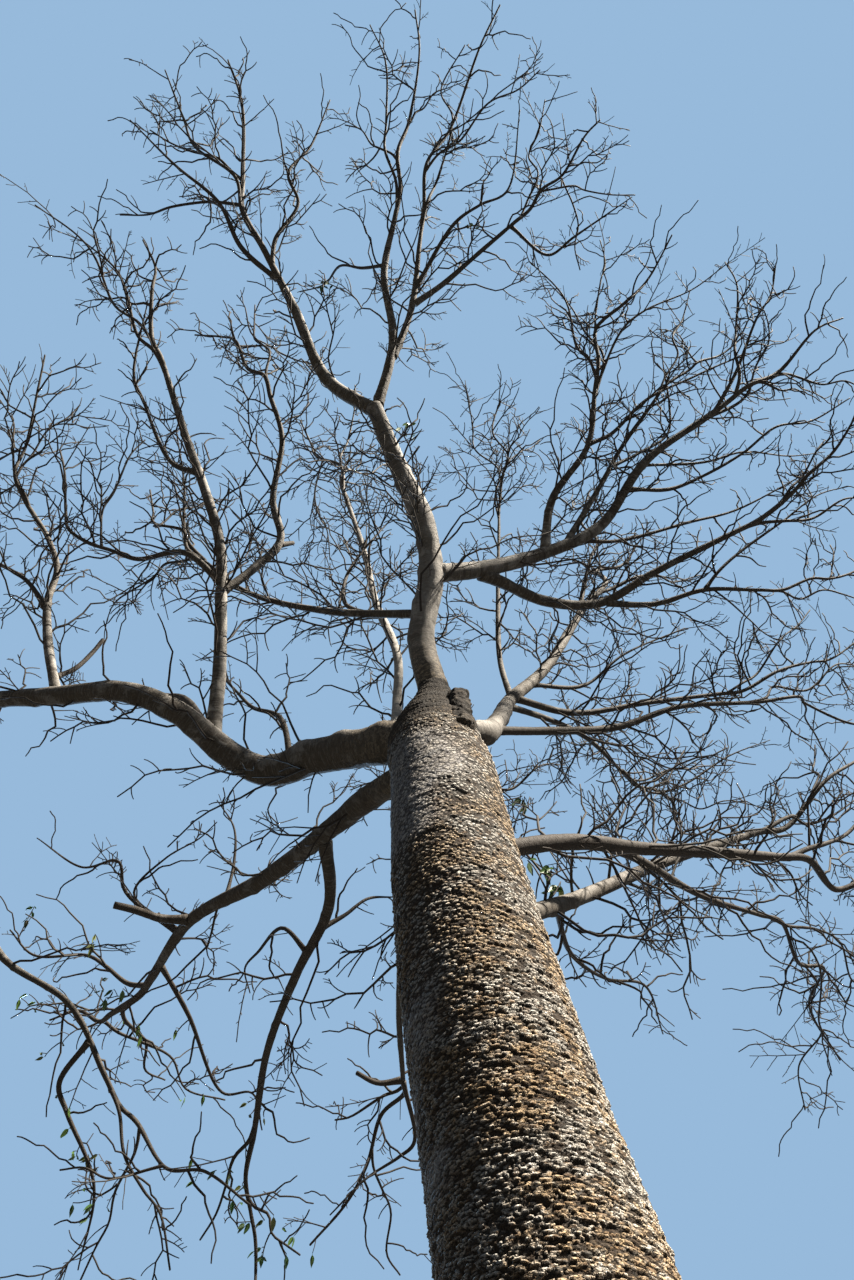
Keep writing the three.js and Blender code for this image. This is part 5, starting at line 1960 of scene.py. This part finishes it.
class StageSettings(bpy.types.PropertyGroup):
    """Floor, backdrop and light."""

    floor_size: length_property("Floor size", 90.0, "Radius of the round floor")
    floor_colour: colour_property("Floor", (0.2, 0.2, 0.195), "Pale floor")
    backdrop: colour_property("Backdrop", (0.31, 0.49, 0.71), "Pale even backdrop")
    fill_above: colour_property("Fill from above", (0.1, 0.135, 0.185), "Cool fill light from above")
    fill_below: colour_property("Fill from below", (0.085, 0.08, 0.072), "Warm fill light from below")
    key_colour: colour_property("Key light", (1.0, 0.91, 0.78), "Warm light from the right")
    key_strength: amount_property("Key strength", 13.5, "Strength of the key light")
    back_strength: amount_property("Back strength", 2.4, "Weak light from behind")
    softness: bpy.props.FloatProperty(name="Softness", description="Width of both lights",
                                      subtype="ANGLE", default=math.radians(3))


def even_backdrop(settings):
    """A world that is one even pale colour to look at, and that lights the tree with a dimmer fill:
    cool from above and warm from below."""
    world = bpy.data.worlds.new("even_backdrop")
    world.use_nodes = True
    nodes = world.node_tree.nodes
    shades = Shades(world.node_tree)
    sky = nodes["Background"]
    shades.feed(sky.inputs["Color"], settings.backdrop)
    rise = shades.parts(shades.node("ShaderNodeTexCoord").outputs["Generated"])["Z"]
    fill_colour = shades.mix(shades.ramp(rise, -0.3, 0.4), settings.fill_below, settings.fill_above)
    fill = shades.node("ShaderNodeBackground", Color=fill_colour)
    looking = shades.node("ShaderNodeLightPath").outputs["Is Camera Ray"]
    both = shades.ordered("ShaderNodeMixShader", {}, looking, fill.outputs[0], sky.outputs[0])
    shades.feed(nodes["World Output"].inputs["Surface"], both)
    bpy.context.scene.world = world


# The stage: the floor's sides, how far the camera sees, and how the two lamps are turned
FLOOR_SIDES = 96
SIGHT_END = 500.0
KEY_TURNED = (math.radians(41), 0.0, math.radians(51))
BACK_TURNED = (math.radians(-55), 0.0, math.radians(20))


def add_lamp(name, strength, colour, turned, softness):
    """A lamp like a sun. Only the key lamp throws shadows."""
    light = bpy.data.lights.new(name, "SUN")
    light.energy = strength
    light.color = colour
    light.angle = softness
    light.use_shadow = name == "key"
    lamp = bpy.data.objects.new(name, light)
    lamp.rotation_euler = turned
    bpy.context.scene.collection.objects.link(lamp)


class BARETREE_OT_stage(bpy.types.Operator):
    """Sets up the floor, the even backdrop, the light and the camera"""

    bl_idname = "bare_tree.stage"
    bl_label = "Set up the stage"

    def execute(self, context):
        settings = context.scene.bare_tree_stage
        turn = np.linspace(0, 2 * math.pi, FLOOR_SIDES, endpoint=False)
        rim = settings.floor_size * np.stack([np.cos(turn), np.sin(turn), 0 * turn], axis=-1)
        mesh = bpy.data.meshes.new("floor")
        mesh.from_pydata(rim.tolist(), [], [list(range(FLOOR_SIDES))])
        mesh.materials.append(plain_material("floor", settings.floor_colour, 0.9))
        floor = bpy.data.objects.new("floor", mesh)
        context.scene.collection.objects.link(floor)
        floor.visible_diffuse = False
        even_backdrop(settings)
        add_lamp("key", settings.key_strength, settings.key_colour, KEY_TURNED, settings.softness)
        add_lamp("back", settings.back_strength, settings.backdrop, BACK_TURNED, settings.softness)
        context.scene.view_settings.view_transform = "Standard"

        lens = bpy.data.cameras.new("camera")
        lens.sensor_width = SENSOR
        lens.lens = SENSOR * PICTURE_DEPTH / PICTURE_LONG_SIDE
        lens.clip_end = SIGHT_END
        camera = bpy.data.objects.new("camera", lens)
        camera.location = EYE
        camera.rotation_euler = (math.pi / 2 + LOOK_UP, 0.0, 0.0)
        context.scene.collection.objects.link(camera)
        context.scene.camera = camera
        return {"FINISHED"}


class BARETREE_OT_trunk(bpy.types.Operator):
    """Adds the trunk's flaky bark in bands, and the old stub on its top"""

    bl_idname = "bare_tree.trunk"
    bl_label = "Add the trunk"

    def execute(self, context):
        settings = context.scene.bare_tree_trunk
        bark = trunk_bark_material(settings)
        points, marks, places = trunk_surface(settings)
        rows = len(points)
        bands = math.ceil(2 * rows * TRUNK_COLUMNS / PIECE_LIMIT)
        edges = np.linspace(0, rows - 1, bands + 1).astype(int)
        for number, (low, high) in enumerate(zip(edges[:-1], edges[1:]), start=1):
            surface = Surface()
            band = slice(low, high + 1)
            parts = [band_arrays(points[band], marks[band], places[band])]
            if number == bands:
                parts.append(stub_arrays(settings))
            for *faces, part_marks, part_places in parts:
                surface.add(*faces, bark_marks=part_marks, bark_place=part_places)
            make_piece(f"trunk_bark_{number}", surface, [bark], ["trunk"])
        return {"FINISHED"}


class BARETREE_OT_boughs(bpy.types.Operator):
    """Adds the boughs of each part of the crown, with their rings and knobs"""

    bl_idname = "bare_tree.boughs"
    bl_label = "Add the boughs"

    def execute(self, context):
        settings = context.scene.bare_tree_boughs
        bark = bough_bark_material(settings)
        for group in GROUPS:
            nodes = [f"{limb.name}_bough" for limb in plan.limbs.values() if limb.group == group]
            make_piece(f"{group}_boughs", bough_arrays(settings, group), [bark], nodes)
        return {"FINISHED"}


class BARETREE_OT_twigs(bpy.types.Operator):
    """Adds the twigs of each part of the crown"""

    bl_idname = "bare_tree.twigs"
    bl_label = "Add the twigs"

    def execute(self, context):
        settings = context.scene.bare_tree_twigs
        tones = [twig_material(f"twig_{tone}", getattr(settings, f"tone_{tone}"))
                 for tone in ("dark", "brown", "grey")]
        ranks = grow_twigs(settings)
        for group in GROUPS:
            nodes = [f"{name}_twigs" for name in plan.spines if plan.limbs[name].group == group]
            surface = Surface()
            for rank in ranks:
                twigs = rank.only(rank.group == group)
                vertices, *faces = stick_arrays(twigs)
                count = max(1, len(twigs.seed))
                tones_of = [np.repeat(twigs.tone, len(part) // count) for part in faces]
                surface.add(vertices, *faces, *tones_of)
            make_piece(f"{group}_twigs", surface, tones, nodes)
        return {"FINISHED"}


class BARETREE_OT_leaves(bpy.types.Operator):
    """Adds the last few leaves on the lowest twigs"""

    bl_idname = "bare_tree.leaves"
    bl_label = "Add the leaves"

    def execute(self, context):
        settings = context.scene.bare_tree_leaves
        tones = [leaf_material(name, getattr(settings, name))
                 for name in ("leaf_fresh", "leaf_deep", "leaf_olive")]
        ranks = grow_twigs(context.scene.bare_tree_twigs)
        feet, headings, seeds, leaf_tones, scales = grow_leaves(ranks, settings)
        length = settings.leaf_length * scales * (1 + LEAF_UNEVEN * spread(seeds, BOW))
        vertices, quads = leaf_arrays(feet, headings, seeds, length)
        surface = Surface()
        surface.add(vertices, quads, np.zeros((0, 3), int), np.repeat(leaf_tones, len(quads) // len(seeds)))
        make_piece("last_leaves", surface, tones, [])
        return {"FINISHED"}


class BARETREE_PT_panel(bpy.types.Panel):
    """Lists the steps that build the tree, with their settings."""

    bl_label = "Bare Winter Tree"
    bl_idname = "BARETREE_PT_panel"
    bl_space_type = "VIEW_3D"
    bl_region_type = "UI"
    bl_category = "Bare Tree"

    def draw(self, context):
        for operator, owner, kind in STEPS:
            box = self.layout.box()
            box.operator(operator.bl_idname)
            for name in kind.__annotations__:
                box.prop(getattr(context.scene, owner), name)


# The steps in their order, with the name of each one's settings on the scene and their kind
STEPS = [
    (BARETREE_OT_stage, "bare_tree_stage", StageSettings),
    (BARETREE_OT_trunk, "bare_tree_trunk", TrunkBarkSettings),
    (BARETREE_OT_boughs, "bare_tree_boughs", BoughBarkSettings),
    (BARETREE_OT_twigs, "bare_tree_twigs", TwigSettings),
    (BARETREE_OT_leaves, "bare_tree_leaves", LeafSettings),
]
CLASSES = [*(kind for _, _, kind in STEPS), *(operator for operator, _, _ in STEPS), BARETREE_PT_panel]


def register():
    """Registers every class, and puts the settings on the scene."""
    for made in CLASSES:
        bpy.utils.register_class(made)
    for _, owner, kind in STEPS:
        setattr(bpy.types.Scene, owner, bpy.props.PointerProperty(type=kind))


def unregister():
    """Takes the settings off the scene, and the classes back."""
    for _, owner, _ in STEPS:
        delattr(bpy.types.Scene, owner)
    for made in reversed(CLASSES):
        bpy.utils.unregister_class(made)


def main():
    """Builds the tree step by step."""
    register()
    bpy.ops.bare_tree.stage()
    bpy.ops.bare_tree.trunk()
    bpy.ops.bare_tree.boughs()
    bpy.ops.bare_tree.twigs()
    bpy.ops.bare_tree.leaves()


if __name__ == "__main__":
    main()
